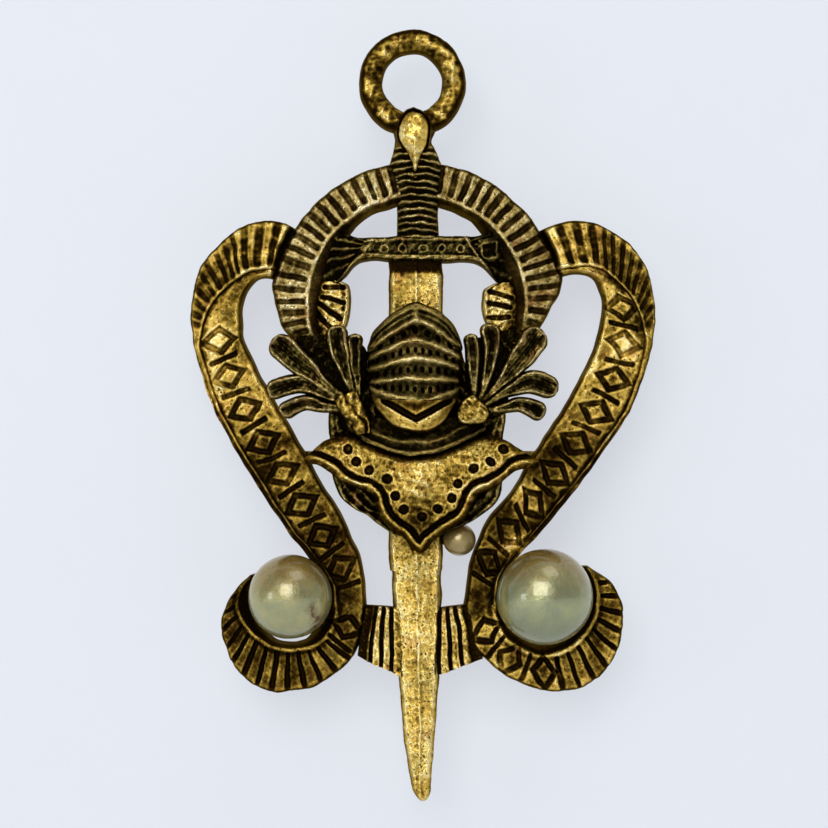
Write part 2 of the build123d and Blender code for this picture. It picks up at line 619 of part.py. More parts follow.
with BuildPart() as catch_lock:
    c_ring(CATCH_U - CATCH_HALF - LOCK_GAP, 2 * (CATCH_HALF + LOCK_GAP), LOCK_OUTER, LOCK_BORE)
    c_ring(CATCH_U - CATCH_HALF - LOCK_GAP - LOCK_COLLAR, LOCK_COLLAR, COLLAR_OUTER, LOCK_BORE)
    c_ring(CATCH_U + CATCH_HALF + LOCK_GAP, LOCK_COLLAR, COLLAR_OUTER, LOCK_BORE)
    with BuildSketch(pin_section(CATCH_U + CATCH_HALF + LOCK_GAP)) as tab:
        with Locations((0.3, 0.85)):
            Rectangle(TAB_REACH, TAB_HALF * 2, align=(Align.MIN, Align.CENTER))
    extrude(tab.sketch, amount=LOCK_COLLAR)
finish(catch_lock, "catch_lock")
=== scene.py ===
"""The looks of the cap badge: gilt relief castings, faux pearls and the brooch fitting behind."""

import math

import bmesh
import bpy
import numpy as np
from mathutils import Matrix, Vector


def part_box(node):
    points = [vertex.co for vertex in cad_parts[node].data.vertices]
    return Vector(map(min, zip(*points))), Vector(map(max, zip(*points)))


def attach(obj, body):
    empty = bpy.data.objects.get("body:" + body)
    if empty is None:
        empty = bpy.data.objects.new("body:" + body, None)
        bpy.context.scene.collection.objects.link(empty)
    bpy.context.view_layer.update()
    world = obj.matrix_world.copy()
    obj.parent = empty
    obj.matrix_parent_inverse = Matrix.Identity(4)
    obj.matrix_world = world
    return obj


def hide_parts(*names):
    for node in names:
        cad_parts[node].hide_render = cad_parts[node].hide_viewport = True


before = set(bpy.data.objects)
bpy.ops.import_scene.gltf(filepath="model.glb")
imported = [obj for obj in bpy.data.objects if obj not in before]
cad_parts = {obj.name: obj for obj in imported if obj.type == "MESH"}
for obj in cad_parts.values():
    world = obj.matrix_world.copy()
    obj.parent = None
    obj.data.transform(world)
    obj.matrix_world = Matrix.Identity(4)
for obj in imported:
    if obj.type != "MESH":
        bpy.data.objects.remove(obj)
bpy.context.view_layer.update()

# ---- The badge's own millimetres ----
# u runs across from the sword, v runs up from the ring's centre, and h rises from the flat back.
MM = 0.001
arch_low, arch_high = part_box("ribbon_arch")
SWORD_X = (arch_low.x + arch_high.x) / 2 / MM
BACK_Y = arch_high.y / MM
RING = (-SWORD_X, 0.0)
RING_BORE = 2.6
RING_OUTER = 4.4
ARCH = (0.0, -18.7)
ARCH_RIM = 8.95        # radius of the arch's inner rim at the front
SHIELD_LOW = 2.0
SHIELD_TOP = 2.7
PLATE_FOOT = SHIELD_TOP - 0.1
HELM_HALF = 4.2
HELM_U = -0.1
HELM_RISE = 3.0
LOZENGE_PITCH = 3.1
FINE = 0.07            # spacing of the relief's points, and two closer ones
FINER = 0.055
FINEST = 0.05
SHARP_ANGLE = math.radians(55)
PEARL_PITS = 46


def place(u, v, h):
    """Scene coordinates, in metres, of points given in the badge's own millimetres."""
    return np.stack([(u + SWORD_X) * MM, (BACK_Y - h) * MM, v * MM], axis=-1)


# ---- Small functions of fields ----
def step(low, high, x):
    """A smooth rise from 0 at low to 1 at high."""
    x = np.clip((x - low) / (high - low), 0, 1)
    return x * x * (3 - 2 * x)


def bump(x, width):
    """A smooth hill of height 1 at x = 0."""
    return np.exp(-((x / width) ** 2))


def spot(u, v, at_u, at_v, width):
    """A smooth round hill of height 1 at one point."""
    return bump(np.hypot(u - at_u, v - at_v), width)


def arch_radius(u, v):
    """Distance from the arch's centre."""
    return np.hypot(u - ARCH[0], v - ARCH[1])


def trough(distance, width):
    """1 in the middle of a groove of that width, falling to 0 at its sides."""
    return step(0, 1, 1.3 - distance / (width / 2))


def profile(distance, *points):
    """A height read off a section given as (distance, height) points, its corners eased."""
    d, h = np.array(points).T
    ease = 0.05
    before, after = np.interp(distance - ease, d, h), np.interp(distance + ease, d, h)
    return (before + 2 * np.interp(distance, d, h) + after) / 4


def ripple(u, v, pitch, seed, octaves=2):
    """Irregular waves between about -1 and 1, the same on each run."""
    rng = np.random.default_rng(seed)
    total = np.zeros(np.broadcast(u, v).shape)
    for octave in range(octaves):
        for _ in range(6):
            turn, phase = rng.uniform(0, 2 * math.pi, 2)
            k = 2 * math.pi / (pitch * 0.5**octave) * rng.uniform(0.7, 1.3)
            total += 0.5**octave * np.sin(k * (u * math.cos(turn) + v * math.sin(turn)) + phase) / 3
    return total


def smoothed(field, radius, axis):
    """The field averaged along one axis with a bell of that radius in steps. Its ends are held."""
    reach = max(1, int(math.ceil(2 * radius)))
    taps = np.exp(-0.5 * (np.arange(-reach, reach + 1) / max(radius, 0.3)) ** 2)
    pad = [(0, 0), (0, 0)]
    pad[axis] = (reach, reach)
    wide = np.pad(field, pad, mode="edge")
    size = field.shape[axis]
    total = sum(w * np.take(wide, range(i, i + size), axis=axis) for i, w in enumerate(taps))
    return total / taps.sum()


def stands_out(h, step_s, step_t):
    """From 0 in a deep recess to 1 on a sharp crest."""
    near, far = 0.16, 0.6
    fine = smoothed(smoothed(h, near / step_s, 0), near / step_t, 1)
    broad = smoothed(smoothed(h, far / step_s, 0), far / step_t, 1)
    return 0.5 + 0.5 * np.tanh(6.0 * (h - fine) + 1.4 * (h - broad))


def through(points, count):
    """`count` even steps along a smooth run through rows: (u, v, ...), or edge pairs (u, v, u, v)."""
    points = np.array(points, float)
    padded = np.vstack([2 * points[0] - points[1], points, 2 * points[-1] - points[-2]])
    dense = []
    for a, b, c, d in zip(padded, padded[1:], padded[2:], padded[3:]):
        t = np.linspace(0, 1, 24, endpoint=False)[:, None]
        square, cube = 2 * a - 5 * b + 4 * c - d, 3 * b - a - 3 * c + d
        dense.append(0.5 * (2 * b + (c - a) * t + square * t**2 + cube * t**3))
    dense = np.vstack(dense + [points[-1:]])
    middle = (dense[:, :2] + dense[:, 2:4]) / 2 if points.shape[1] == 4 else dense[:, :2]
    length = np.concatenate([[0], np.cumsum(np.linalg.norm(np.diff(middle, axis=0), axis=1))])
    even = np.linspace(0, length[-1], count)
    return np.stack([np.interp(even, length, dense[:, k]) for k in range(points.shape[1])], axis=1)


def distance_to(points, u, v, count=160):
    """Distance of each (u, v) from a smooth line through given points."""
    line = through(points, count)
    nearest = np.full(np.broadcast(u, v).shape, 1e9)
    for (au, av), (bu, bv) in zip(line, line[1:]):
        du, dv = bu - au, bv - av
        t = np.clip(((u - au) * du + (v - av) * dv) / (du * du + dv * dv + 1e-12), 0, 1)
        nearest = np.minimum(nearest, np.hypot(u - au - t * du, v - av - t * dv))
    return nearest


def arc(centre, radius, angle):
    """A point on a circle, the angle in degrees."""
    turn = math.radians(angle)
    return centre[0] + radius * math.cos(turn), centre[1] + radius * math.sin(turn)


def cuts(along, places, width, depth, seed, stretch=1.0):
    """Grooves across a strip at those places, each a little uneven in width and depth."""
    rng = np.random.default_rng(seed)
    total = np.zeros(np.broadcast(along, stretch).shape)
    for where in places:
        wide, deep = rng.uniform(0.8, 1.2) * width, rng.uniform(0.75, 1.1) * depth
        total = np.maximum(total, deep * trough(np.abs(along - where) * stretch, wide))
    return -total


def rounded(share, width, radius, drop):
    """How far the two edges of a strip fall away."""
    near = np.minimum(share, 1 - share) * width
    x = np.clip(1 - near / radius, 0, 1)
    return -drop * (1 - np.sqrt(np.clip(1 - x * x, 0, 1)))


def casting_skin(u, v):
    """The low unevenness of every cast surface."""
    return 0.035 * ripple(u, v, 2.0, 7, 3) + 0.016 * ripple(u, v, 0.5, 8)


# ---- Building closed shells ----
class Casting:
    """Gathers closed shells, with the relief of each point, and makes them into one piece."""

    def __init__(self):
        self.points, self.relief, self.faces, self.total = [], [], [], 0

    def add(self, u, v, h, relief):
        """Adds an array of points, unevenly cast, and returns their numbers in the same shape."""
        u, v, h, relief = np.broadcast_arrays(u, v, h, relief)
        numbers = self.total + np.arange(u.size).reshape(u.shape)
        cast_u = u + 0.05 * ripple(u, v, 3.1, 5)
        cast_v = v + 0.05 * ripple(u, v, 3.3, 6)
        self.points.append(place(cast_u, cast_v, h).reshape(-1, 3))
        self.relief.append(relief.ravel())
        self.total += u.size
        return numbers

    def quads(self, grid):
        """Joins a grid of point numbers with quads."""
        corners = [grid[:-1, :-1], grid[:-1, 1:], grid[1:, 1:], grid[1:, :-1]]
        self.faces.extend(np.stack(corners, axis=-1).reshape(-1, 4).tolist())

    def polygon(self, numbers):
        """One flat face."""
        self.faces.append([int(n) for n in numbers])

    def make(self, name, material, node):
        """Makes the finished piece, standing for its CAD node."""
        mesh = bpy.data.meshes.new(name)
        mesh.from_pydata(np.vstack(self.points).tolist(), [], self.faces)
        relief = mesh.attributes.new("relief", "FLOAT", "POINT")
        relief.data.foreach_set("value", np.concatenate(self.relief).astype(np.float32))
        work = bmesh.new()
        work.from_mesh(mesh)
        bmesh.ops.recalc_face_normals(work, faces=work.faces)
        work.to_mesh(mesh)
        work.free()
        finished(name, mesh, material, node)


def finished(name, mesh, material, node):
    """Makes an object of that mesh, shaded smooth, riding on the badge and standing for its CAD node."""
    mesh.materials.append(material)
    mesh.polygons.foreach_set("use_smooth", np.ones(len(mesh.polygons), bool))
    mesh.set_sharp_from_angle(angle=SHARP_ANGLE)
    piece = bpy.data.objects.new(name, mesh)
    bpy.context.collection.objects.link(piece)
    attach(piece, "badge")
    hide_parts(node)


def strip(
    cast, edges, shape, base=0.0, closed=False, spacing=FINE, draft=(0.12, 0.12),
    levels=5, tone=0.0, wall=0.28,
):
    """A shell between edge points, in rows (u, v, u, v), its front at shape(along, across, u, v, width).

    Each draft is how far a side wall reaches out at its foot: a number, or several along the strip.
    `wall` is the relief of the side walls. The tone brightens or darkens the gilding, and a shape may
    give a tone of its own, as (height, tone).
    """
    rough = through(edges, 200)
    middle = (rough[:, :2] + rough[:, 2:]) / 2
    length = np.linalg.norm(np.diff(middle, axis=0), axis=1).sum()
    widths = np.linalg.norm(rough[:, 2:] - rough[:, :2], axis=1)
    rows, columns = max(8, int(length / spacing)), max(8, int(np.percentile(widths, 80) / spacing))
    run = through(edges, rows)
    t = np.linspace(0, 1, columns)
    t = (0.75 * t + 0.25 * (1 - np.cos(math.pi * t)) / 2)[None, :]
    u = run[:, 0:1] * (1 - t) + run[:, 2:3] * t
    v = run[:, 1:2] * (1 - t) + run[:, 3:4] * t
    width = np.linalg.norm(run[:, 2:] - run[:, :2], axis=1)[:, None]
    along = np.linspace(0, length, rows)[:, None]
    h = shape(along, t, u, v, width)
    if isinstance(h, tuple):
        h, own_tone = h
        tone = tone + own_tone
    h = np.maximum(h + casting_skin(u, v), base + 0.05)
    relief = stands_out(h, length / rows, max(widths.mean() / columns, 0.02)) + tone

    out = (run[:, 2:] - run[:, :2]) / np.maximum(width, 1e-6)
    walls = []
    for column, way, push in ((-1, 1, draft[1]), (0, -1, draft[0])):
        share = np.linspace(0, 1, levels + 1)[1:][None, :]
        edge_u, edge_v, edge_h = u[:, column, None], v[:, column, None], h[:, column, None]
        rough_wall = 0.02 * ripple(edge_u + 3 * share, edge_v, 0.9, 11) * (share < 1)
        push = np.interp(along, np.linspace(0, length, np.size(push)), np.atleast_1d(push))
        reach = way * (push * share**0.5 + rough_wall)
        wall_u, wall_v = edge_u + out[:, 0:1] * reach, edge_v + out[:, 1:2] * reach
        wall_h = edge_h + (base - edge_h) * share
        walls.append([wall_u, wall_v, wall_h, wall * (1 - 0.6 * share) + 0 * wall_u])
    right, left = walls[0], [part[:, ::-1] for part in walls[1]]
    s = np.array([0.93, 0.72, 0.5, 0.28, 0.07])[None, :]
    back_u = left[0][:, :1] * (1 - s) + right[0][:, -1:] * s
    back_v = left[1][:, :1] * (1 - s) + right[1][:, -1:] * s
    dish = np.minimum(0.05, 0.3 * (h.min() - base))
    back_h = base + dish * (1 + 0.6 * ripple(back_u, back_v, 1.3, 13)) + 0 * back_u
    back = [back_u, back_v, back_h, 0.45 + 0.1 * ripple(back_u, back_v, 2.0, 14)]
    parts = [np.concatenate(four, axis=1) for four in zip([u, v, h, relief], right, back, left)]
    grid = cast.add(*parts)
    if closed:
        grid = np.vstack([grid, grid[:1]])
    cast.quads(np.hstack([grid, grid[:, :1]]))
    if not closed:
        cast.polygon(grid[0])
        cast.polygon(grid[-1])


def casting(name, edges, shape, material, **build):
    """Makes a piece of one strip, standing for the CAD node of the same name."""
    cast = Casting()
    strip(cast, edges, shape, **build)
    cast.make(name + "_cast", material, name)


def mound(cast, outline, centre, shape, base):
    """A shell with a closed outline, its front at shape(share, u, v), share being 0 at its centre."""
    rough = through(outline + outline[:1], 100)
    length = np.linalg.norm(np.diff(rough, axis=0), axis=1).sum()
    edge = through(outline + outline[:1], max(24, int(length / FINEST)) + 1)[:-1]
    rings = max(6, int(length / 6.3 / FINEST))
    share = np.linspace(0, 1, rings + 1)[1:][None, :]
    u = centre[0] + (edge[:, 0:1] - centre[0]) * share
    v = centre[1] + (edge[:, 1:2] - centre[1]) * share
    h = shape(share, u, v)
    h, tone = h if isinstance(h, tuple) else (h, 0.0)
    h = np.maximum(h + casting_skin(u, v), base + 0.05)
    relief = stands_out(h, FINEST, FINEST) + tone
    fall = np.linspace(0, 1, 4)[1:][None, :]
    wall_h = h[:, -1:] + (base - h[:, -1:]) * fall
    wall = [u[:, -1:] + 0 * fall, v[:, -1:] + 0 * fall, wall_h, 0.28 + 0 * wall_h]
    parts = [np.concatenate(two, axis=1) for two in zip([u, v, h, relief], wall)]
    grid = cast.add(*parts)
    cast.quads(np.vstack([grid, grid[:1]]))
    cast.polygon(grid[:, -1])
    cast.polygon(grid[:, 0])


def leaf(cast, spine, low, high, seed):
    """A spoon-shaped leaf: its rows are (u, v, half width) from the stem to a round tip."""
    run = through(spine, 60)
    travelled = np.concatenate([[0], np.cumsum(np.hypot(*np.diff(run[:, :2], axis=0).T))])
    tip = run[-1, 2]
    ends_in = travelled[-1] - travelled
    half = run[:, 2] * np.sqrt(np.clip(1 - np.clip(1 - ends_in / tip, 0, 1) ** 2, 0.004, 1))
    ahead = np.gradient(run[:, :2], axis=0)
    ahead /= np.linalg.norm(ahead, axis=1)[:, None]
    side = np.stack([-ahead[:, 1], ahead[:, 0]], axis=1) * half[:, None]
    edges = np.hstack([run[:, :2] + side, run[:, :2] - side])
    total = travelled[-1]

    def shape(along, t, u, v, width):
        share = along / total
        crest = low + (high - low) * (0.6 + 0.4 * np.sin(math.pi * np.clip(share, 0, 1) ** 1.3))
        edge = np.minimum(np.minimum(t, 1 - t) * width, np.maximum(total - along, 0.0))
        rim = profile(edge, (0, -0.4), (0.1, -0.14), (0.22, 0.0), (9, 0.0))
        inner = np.maximum(width / 2 - 0.27, 0.05)
        dish = np.sqrt(np.clip(np.clip(edge - 0.27, 0, 9) / inner, 0, 1)) * step(0.12, 0.4, share)
        deep = 0.4 * np.clip(width / 1.6, 0.35, 1.1)
        shaded = dish * bump(share - 0.8, 0.2)
        veins = 0.035 * np.cos(2 * math.pi * (t - 0.5) * width / 0.26) * dish
        tone = 0.08 * bump(edge - 0.2, 0.16) + 0.04 * dish - 0.08 * shaded
        tone = tone + 0.14 * ripple(u, v, 1.2, seed + 9)
        return crest + rim + veins - deep * dish - 0.1 * shaded + 0.03 * ripple(u, v, 0.5, seed), tone

    strip(cast, edges, shape, base=low, spacing=0.06, draft=(0.06, 0.06), levels=3)


# ---- Procedural materials ----
class Surface:
    """One procedural material. Its textures are placed in the badge's own millimetres."""

    def __init__(self, name):
        self.material = bpy.data.materials.new(name)
        self.material.use_nodes = True
        self.nodes = self.material.node_tree.nodes
        self.links = self.material.node_tree.links
        self.shader = self.nodes["Principled BSDF"]
        coordinates = self.nodes.new("ShaderNodeTexCoord")
        scale = self.nodes.new("ShaderNodeVectorMath")
        scale.operation = "SCALE"
        scale.inputs["Scale"].default_value = 1 / MM
        self.links.new(coordinates.outputs["Object"], scale.inputs[0])
        self.where = scale.outputs[0]

    def feed(self, socket, value):
        """Links an output to a socket, or sets the socket's own value."""
        if hasattr(value, "is_output"):
            self.links.new(value, socket)
        else:
            socket.default_value = value

    def noise(self, size, detail=3.0, roughness=0.6):
        """Cloudy noise, with features of about that many millimetres."""
        node = self.nodes.new("ShaderNodeTexNoise")
        self.links.new(self.where, node.inputs["Vector"])
        node.inputs["Scale"].default_value = 1 / size
        node.inputs["Detail"].default_value = detail
        node.inputs["Roughness"].default_value = roughness
        return node.outputs["Fac"]

    def cells(self, size):
        """Distance from scattered points, about that many millimetres apart."""
        node = self.nodes.new("ShaderNodeTexVoronoi")
        self.links.new(self.where, node.inputs["Vector"])
        node.inputs["Scale"].default_value = 1 / size
        return node.outputs["Distance"]

    def math(self, operation, a, b=0.0, c=0.0):
        """One step of arithmetic."""
        node = self.nodes.new("ShaderNodeMath")
        node.operation = operation
        for socket, value in zip(node.inputs, (a, b, c)):
            self.feed(socket, value)
        return node.outputs[0]

    def between(self, value, low, high, to_low=0.0, to_high=1.0):
        """A smooth change from to_low to to_high as the value goes from low to high."""
        node = self.nodes.new("ShaderNodeMapRange")
        node.interpolation_type = "SMOOTHSTEP"
        for socket, number in zip(node.inputs[:5], (value, low, high, to_low, to_high)):
            self.feed(socket, number)
        return node.outputs[0]

    def mix(self, share, a, b):
        """A colour between a and b."""
        node = self.nodes.new("ShaderNodeMix")
        node.data_type = "RGBA"
        self.feed(node.inputs[0], share)
        self.feed(node.inputs[6], a)
        self.feed(node.inputs[7], b)
        return node.outputs[2]

    def stain(self, colour, share, strength, tint):
        """The colour with that much of a tint over it."""
        return self.mix(self.math("MULTIPLY", share, strength), colour, tint)

    def ramp(self, value, *stops):
        """A colour read off (position, colour) stops."""
        node = self.nodes.new("ShaderNodeValToRGB")
        self.links.new(value, node.inputs[0])
        ramp = node.color_ramp
        while len(ramp.elements) < len(stops):
            ramp.elements.new(0.5)
        for element, (position, colour) in zip(ramp.elements, stops):
            element.position = position
            element.color = colour
        return node.outputs[0]

    def bumps(self, height, distance):
        """Small bumps, their height in millimetres."""
        node = self.nodes.new("ShaderNodeBump")
        node.inputs["Distance"].default_value = distance * MM
        self.links.new(height, node.inputs["Height"])
        self.links.new(node.outputs[0], self.shader.inputs["Normal"])

    def set(self, **inputs):
        """Sets the shader's sockets, named with _ for each space."""
        for name, value in inputs.items():
            self.feed(self.shader.inputs[name.replace("_", " ")], value)


def rgb(red, green, blue):
    """A colour seen as those 0 to 255 screen values."""
    shares = (red / 255, green / 255, blue / 255)
    linear = [((c + 0.055) / 1.055) ** 2.4 if c > 0.04 else c / 12.92 for c in shares]
    return (*linear, 1.0)


STOPS = (0.04, 0.24, 0.42, 0.58, 0.75, 0.95)
BRIGHT = [(28, 17, 3), (68, 49, 12), (118, 93, 33), (178, 144, 60), (226, 190, 94), (248, 228, 156)]
BAND = [(32, 21, 5), (66, 50, 19), (106, 87, 42), (150, 127, 70), (196, 174, 114), (234, 222, 180)]
DULL = [(14, 9, 2), (54, 45, 19), (98, 84, 40), (146, 124, 64), (192, 166, 96), (228, 208, 148)]


def gilt(name, colours, cast=True, wear=0.0, grain=1.0):
    """Old gilding over brass: rubbed bright on what stands out, pitted, brown-black in the recesses, and
    darkened where nearby parts close in, as painted shade with some grime.
    """
    metal = Surface(name)
    if cast:
        relief = metal.nodes.new("ShaderNodeAttribute")
        relief.attribute_name = "relief"
        relief = relief.outputs["Fac"]
    else:
        relief = metal.between(metal.noise(1.6, 4), 0.3, 0.7, 0.25, 0.6)
    # Ambient occlusion darkens the tone where nearby surfaces close in: painted shade between parts, partly
    # grime.
    grime_and_occlusion_shade = metal.nodes.new("ShaderNodeAmbientOcclusion")
    grime_and_occlusion_shade.samples = 6
    grime_and_occlusion_shade.inputs["Distance"].default_value = 1.5 * MM
    tone = metal.math("ADD", relief, wear - 0.46)
    tone = metal.math("MULTIPLY_ADD", grime_and_occlusion_shade.outputs["AO"], 0.5, tone)
    blotches = metal.noise(2.6, 4)
    grime = metal.noise(0.55, 5, 0.7)
    speckle = metal.noise(0.14, 3, 0.7)
    for field, strength in ((blotches, 0.75), (grime, 0.55), (speckle, 0.5)):
        lowered = metal.math("ADD", tone, -strength * grain / 2)
        tone = metal.math("MULTIPLY_ADD", field, strength * grain, lowered)
    colour = metal.ramp(tone, *zip(STOPS, (rgb(*shade) for shade in colours)))
    lit = metal.between(tone, 0.15, 0.5)
    copper = metal.math("MULTIPLY", lit, metal.between(metal.noise(1.9, 4), 0.56, 0.7))
    colour = metal.stain(colour, copper, 0.42, rgb(150, 88, 50))
    pits = metal.between(metal.cells(0.36), 0.1, 0.26, 1.0, 0.0)
    pits = metal.math("MULTIPLY", pits, metal.between(metal.noise(0.9, 2), 0.33, 0.52))
    colour = metal.stain(colour, pits, 0.85 * grain, rgb(44, 30, 10))
    olive = metal.math("MULTIPLY", lit, metal.between(metal.noise(2.3, 3), 0.5, 0.68))
    colour = metal.stain(colour, olive, 0.35, rgb(96, 94, 36))
    metal.set(
        Base_Color=colour,
        Metallic=1.0,
        Specular_Tint=(0.75, 0.6, 0.36, 1.0),
        Roughness=metal.between(tone, 0.2, 0.75, 0.46, 0.27),
    )
    rough = metal.math("ADD", grime, metal.math("MULTIPLY", speckle, 0.6))
    metal.bumps(metal.math("MULTIPLY_ADD", pits, -0.8, rough), 0.11 * grain)
    return metal.material


def steel(name):
    """Dulled white-metal wire with a little tarnish."""
    metal = Surface(name)
    tarnish = metal.between(metal.noise(1.2, 5, 0.7), 0.45, 0.7)
    metal.set(
        Base_Color=metal.mix(tarnish, rgb(196, 190, 178), rgb(110, 98, 80)),
        Metallic=1.0,
        Roughness=metal.between(metal.noise(0.3, 4), 0.3, 0.7, 0.25, 0.45),
    )
    metal.bumps(metal.noise(0.12, 4), 0.012)
    return metal.material


def nacre(name, body, glow, brown, crown_z, reach, crack_x=None):
    """A faux pearl's coating, dulled and stained brown towards its top, painted darker towards its bottom as
    shade and some grime, and cracked along crack_x.
    """
    pearl = Surface(name)
    place_on = pearl.nodes.new("ShaderNodeSeparateXYZ")
    pearl.links.new(pearl.where, place_on.inputs[0])
    x, z = place_on.outputs["X"], place_on.outputs["Z"]
    veil = pearl.math("MULTIPLY_ADD", pearl.noise(1.8, 4), 3.0, pearl.math("SUBTRACT", z, crown_z + 1.5))
    veil = pearl.between(veil, -reach, reach * 0.9)
    rust = pearl.math("MULTIPLY", veil, pearl.between(pearl.noise(0.8, 5, 0.75), 0.42, 0.66))
    colour = pearl.mix(pearl.between(pearl.noise(2.2, 3), 0.3, 0.7), body, glow)
    colour = pearl.stain(colour, veil, 0.75, brown)
    colour = pearl.stain(colour, rust, 0.5, rgb(132, 96, 44))
    grit = pearl.math("MULTIPLY", veil, pearl.between(pearl.noise(0.2, 3, 0.6), 0.54, 0.64))
    colour = pearl.stain(colour, grit, 0.5, rgb(100, 70, 26))
    if crack_x is not None:
        sway = pearl.math("MULTIPLY_ADD", pearl.noise(1.5, 5, 0.62), 3.0, -crack_x - 1.5)
        away = pearl.math("ABSOLUTE", pearl.math("ADD", x, sway))
        below = pearl.between(z, crown_z - 2.2, crown_z - 1.0, 1.0, 0.0)
        streak = pearl.math("MULTIPLY", below, pearl.between(away, 0.1, 0.65, 1.0, 0.0))
        crack = pearl.math("MULTIPLY", below, pearl.between(away, 0.06, 0.17, 1.0, 0.0))
        colour = pearl.stain(colour, streak, 0.7, rgb(126, 96, 34))
        colour = pearl.stain(colour, crack, 0.9, rgb(62, 36, 12))
    # Darker towards the bottom: painted shade, partly grime near the seat.
    seat_grime_and_shade = pearl.between(z, crown_z - 4.6, crown_z - 2.4, 1.0, 0.0)
    colour = pearl.stain(colour, seat_grime_and_shade, 0.4, rgb(104, 110, 92))
    pearl.set(
        Base_Color=colour,
        Metallic=0.55,
        Roughness=pearl.between(pearl.noise(0.5, 5, 0.7), 0.3, 0.7, 0.26, 0.4),
        Coat_Weight=0.95,
        Coat_Roughness=0.09,
        Coat_Tint=(0.96, 0.93, 0.78, 1.0),
        Subsurface_Weight=0.15,
        Subsurface_Scale=0.8 * MM,
    )
    pearl.bumps(pearl.math("MULTIPLY_ADD", pearl.noise(1.3, 3), 2.5, pearl.noise(0.35, 5, 0.7)), 0.03)
    return pearl.material


gold = gilt("worn_gilding", BRIGHT, wear=-0.04)
band_gold = gilt("ribbon_gilding", BAND, wear=-0.04)
dull_gold = gilt("dark_gilding", DULL, wear=-0.14)
bright_gold = gilt("bright_gilding", BRIGHT, wear=0.05)
smooth_gold = gilt("smooth_gilding", BRIGHT, wear=0.08, grain=0.5)
plain_brass = gilt("back_brass", DULL, cast=False)
wire_metal = steel("pin_steel")


# ---- Ring and sword ----
def hanging_ring():
    edges = [arc(RING, RING_BORE, a) + arc(RING, RING_OUTER, a) for a in range(-90, 271, 10)]

    def shape(along, t, u, v, width):
        # The outer edge is painted dark as shade, and a band round the middle is lightened as wear and a
        # painted highlight.
        outer = step(0.7, 1.0, t)
        wear_and_painted_light = 0.16 * bump(t - 0.5, 0.28)
        height = 1.96 + rounded(t, width, 0.85, 0.85) + 0.07 * ripple(u, v, 0.9, 21)
        return height, 0.22 * ripple(u, v, 1.9, 22) + wear_and_painted_light - 0.8 * outer - 0.3

    casting("hanging_ring", edges, shape, gold, closed=True, draft=(0.1, 0.12))


GRIP_WRAP = 0.58
GRIP_EDGES = [
    (-1.2, -3.3, 0.8, -3.3), (-1.9, -4.0, 1.5, -4.0), (-1.7, -5.1, 1.2, -5.1), (-2.0, -6.4, 1.75, -6.3),
    (-2.1, -7.3, 2.05, -7.1), (-1.75, -8.8, 1.9, -8.7), (-1.55, -10.6, 1.75, -10.6),
    (-1.6, -13.2, 1.75, -13.2),
]


def grip():
    def shape(along, t, u, v, width):
        x = 2 * t - 1
        vault = 1.35 + 1.45 * np.sqrt(np.clip(1 - 0.93 * x**2, 0, 1))
        wraps = step(-5.5, -5.9, v)
        turn = (v + 0.07 * u * u + 0.05 * ripple(u, v, 1.3, 23)) / GRIP_WRAP
        cord = (0.5 - 0.5 * np.cos(2 * math.pi * turn)) ** 1.5
        neck = step(-5.6, -4.6, v)
        wrapped = vault - 0.75 * neck * (1 - 0.4 * x**2) + wraps * (0.32 * cord - 0.2)
        return wrapped + 0.03 * ripple(u, v, 0.9, 24)

    casting("grip", GRIP_EDGES, shape, dull_gold, base=0.5, spacing=0.06, draft=(0.08, 0.08))


POMMEL_EDGE = [
    (-0.2, -2.2), (0.65, -2.65), (1.15, -3.5), (1.28, -4.4), (1.1, -5.4), (0.75, -6.3), (0.4, -7.1),
    (0.05, -8.3), (-0.25, -8.2), (-0.5, -7.3), (-1.1, -6.2), (-1.6, -5.2), (-1.74, -4.3), (-1.4, -3.1),
    (-0.9, -2.45),
]


def pommel():
    cast = Casting()

    def shape(share, u, v):
        dome = 2.6 + 1.25 * np.sqrt(np.clip(1 - (share / 0.84) ** 2, 0, 1))
        keel = 0.14 * bump(u + 0.1, 0.3) * step(-4.2, -6.0, v)
        bezel = 0.12 * bump(share - 0.93, 0.05) - 0.5 * step(0.93, 1.0, share)
        shade = 0.26 * step(-4.4, -2.8, v) + 0.2 * step(0.2, 0.8, u)
        tone = 0.08 - 0.75 * step(0.76, 0.88, share) - shade
        return dome + keel + bezel + 0.07 * ripple(u, v, 1.1, 25), tone + 0.08 * ripple(u, v, 0.8, 26)

    mound(cast, POMMEL_EDGE, (-0.22, -4.5), shape, base=1.6)
    cast.make("pommel_cast", smooth_gold, "pommel")


GUARD_EDGES = [
    (-8.0, -13.6, -7.7, -17.2), (-7.0, -12.9, -6.8, -17.0), (-6.1, -12.7, -6.0, -16.3),
    (-5.2, -13.1, -5.1, -15.2), (-4.0, -13.15, -4.0, -14.95), (0.0, -13.0, 0.0, -15.0),
    (4.0, -13.05, 4.0, -15.05), (5.3, -12.95, 5.3, -15.35), (6.3, -12.7, 6.3, -16.2),
    (7.2, -12.8, 7.1, -17.0), (8.1, -13.4, 7.9, -17.3),
]
GUARD_DOTS = [-2.65, -1.2, 0.55, 2.1, 3.7]


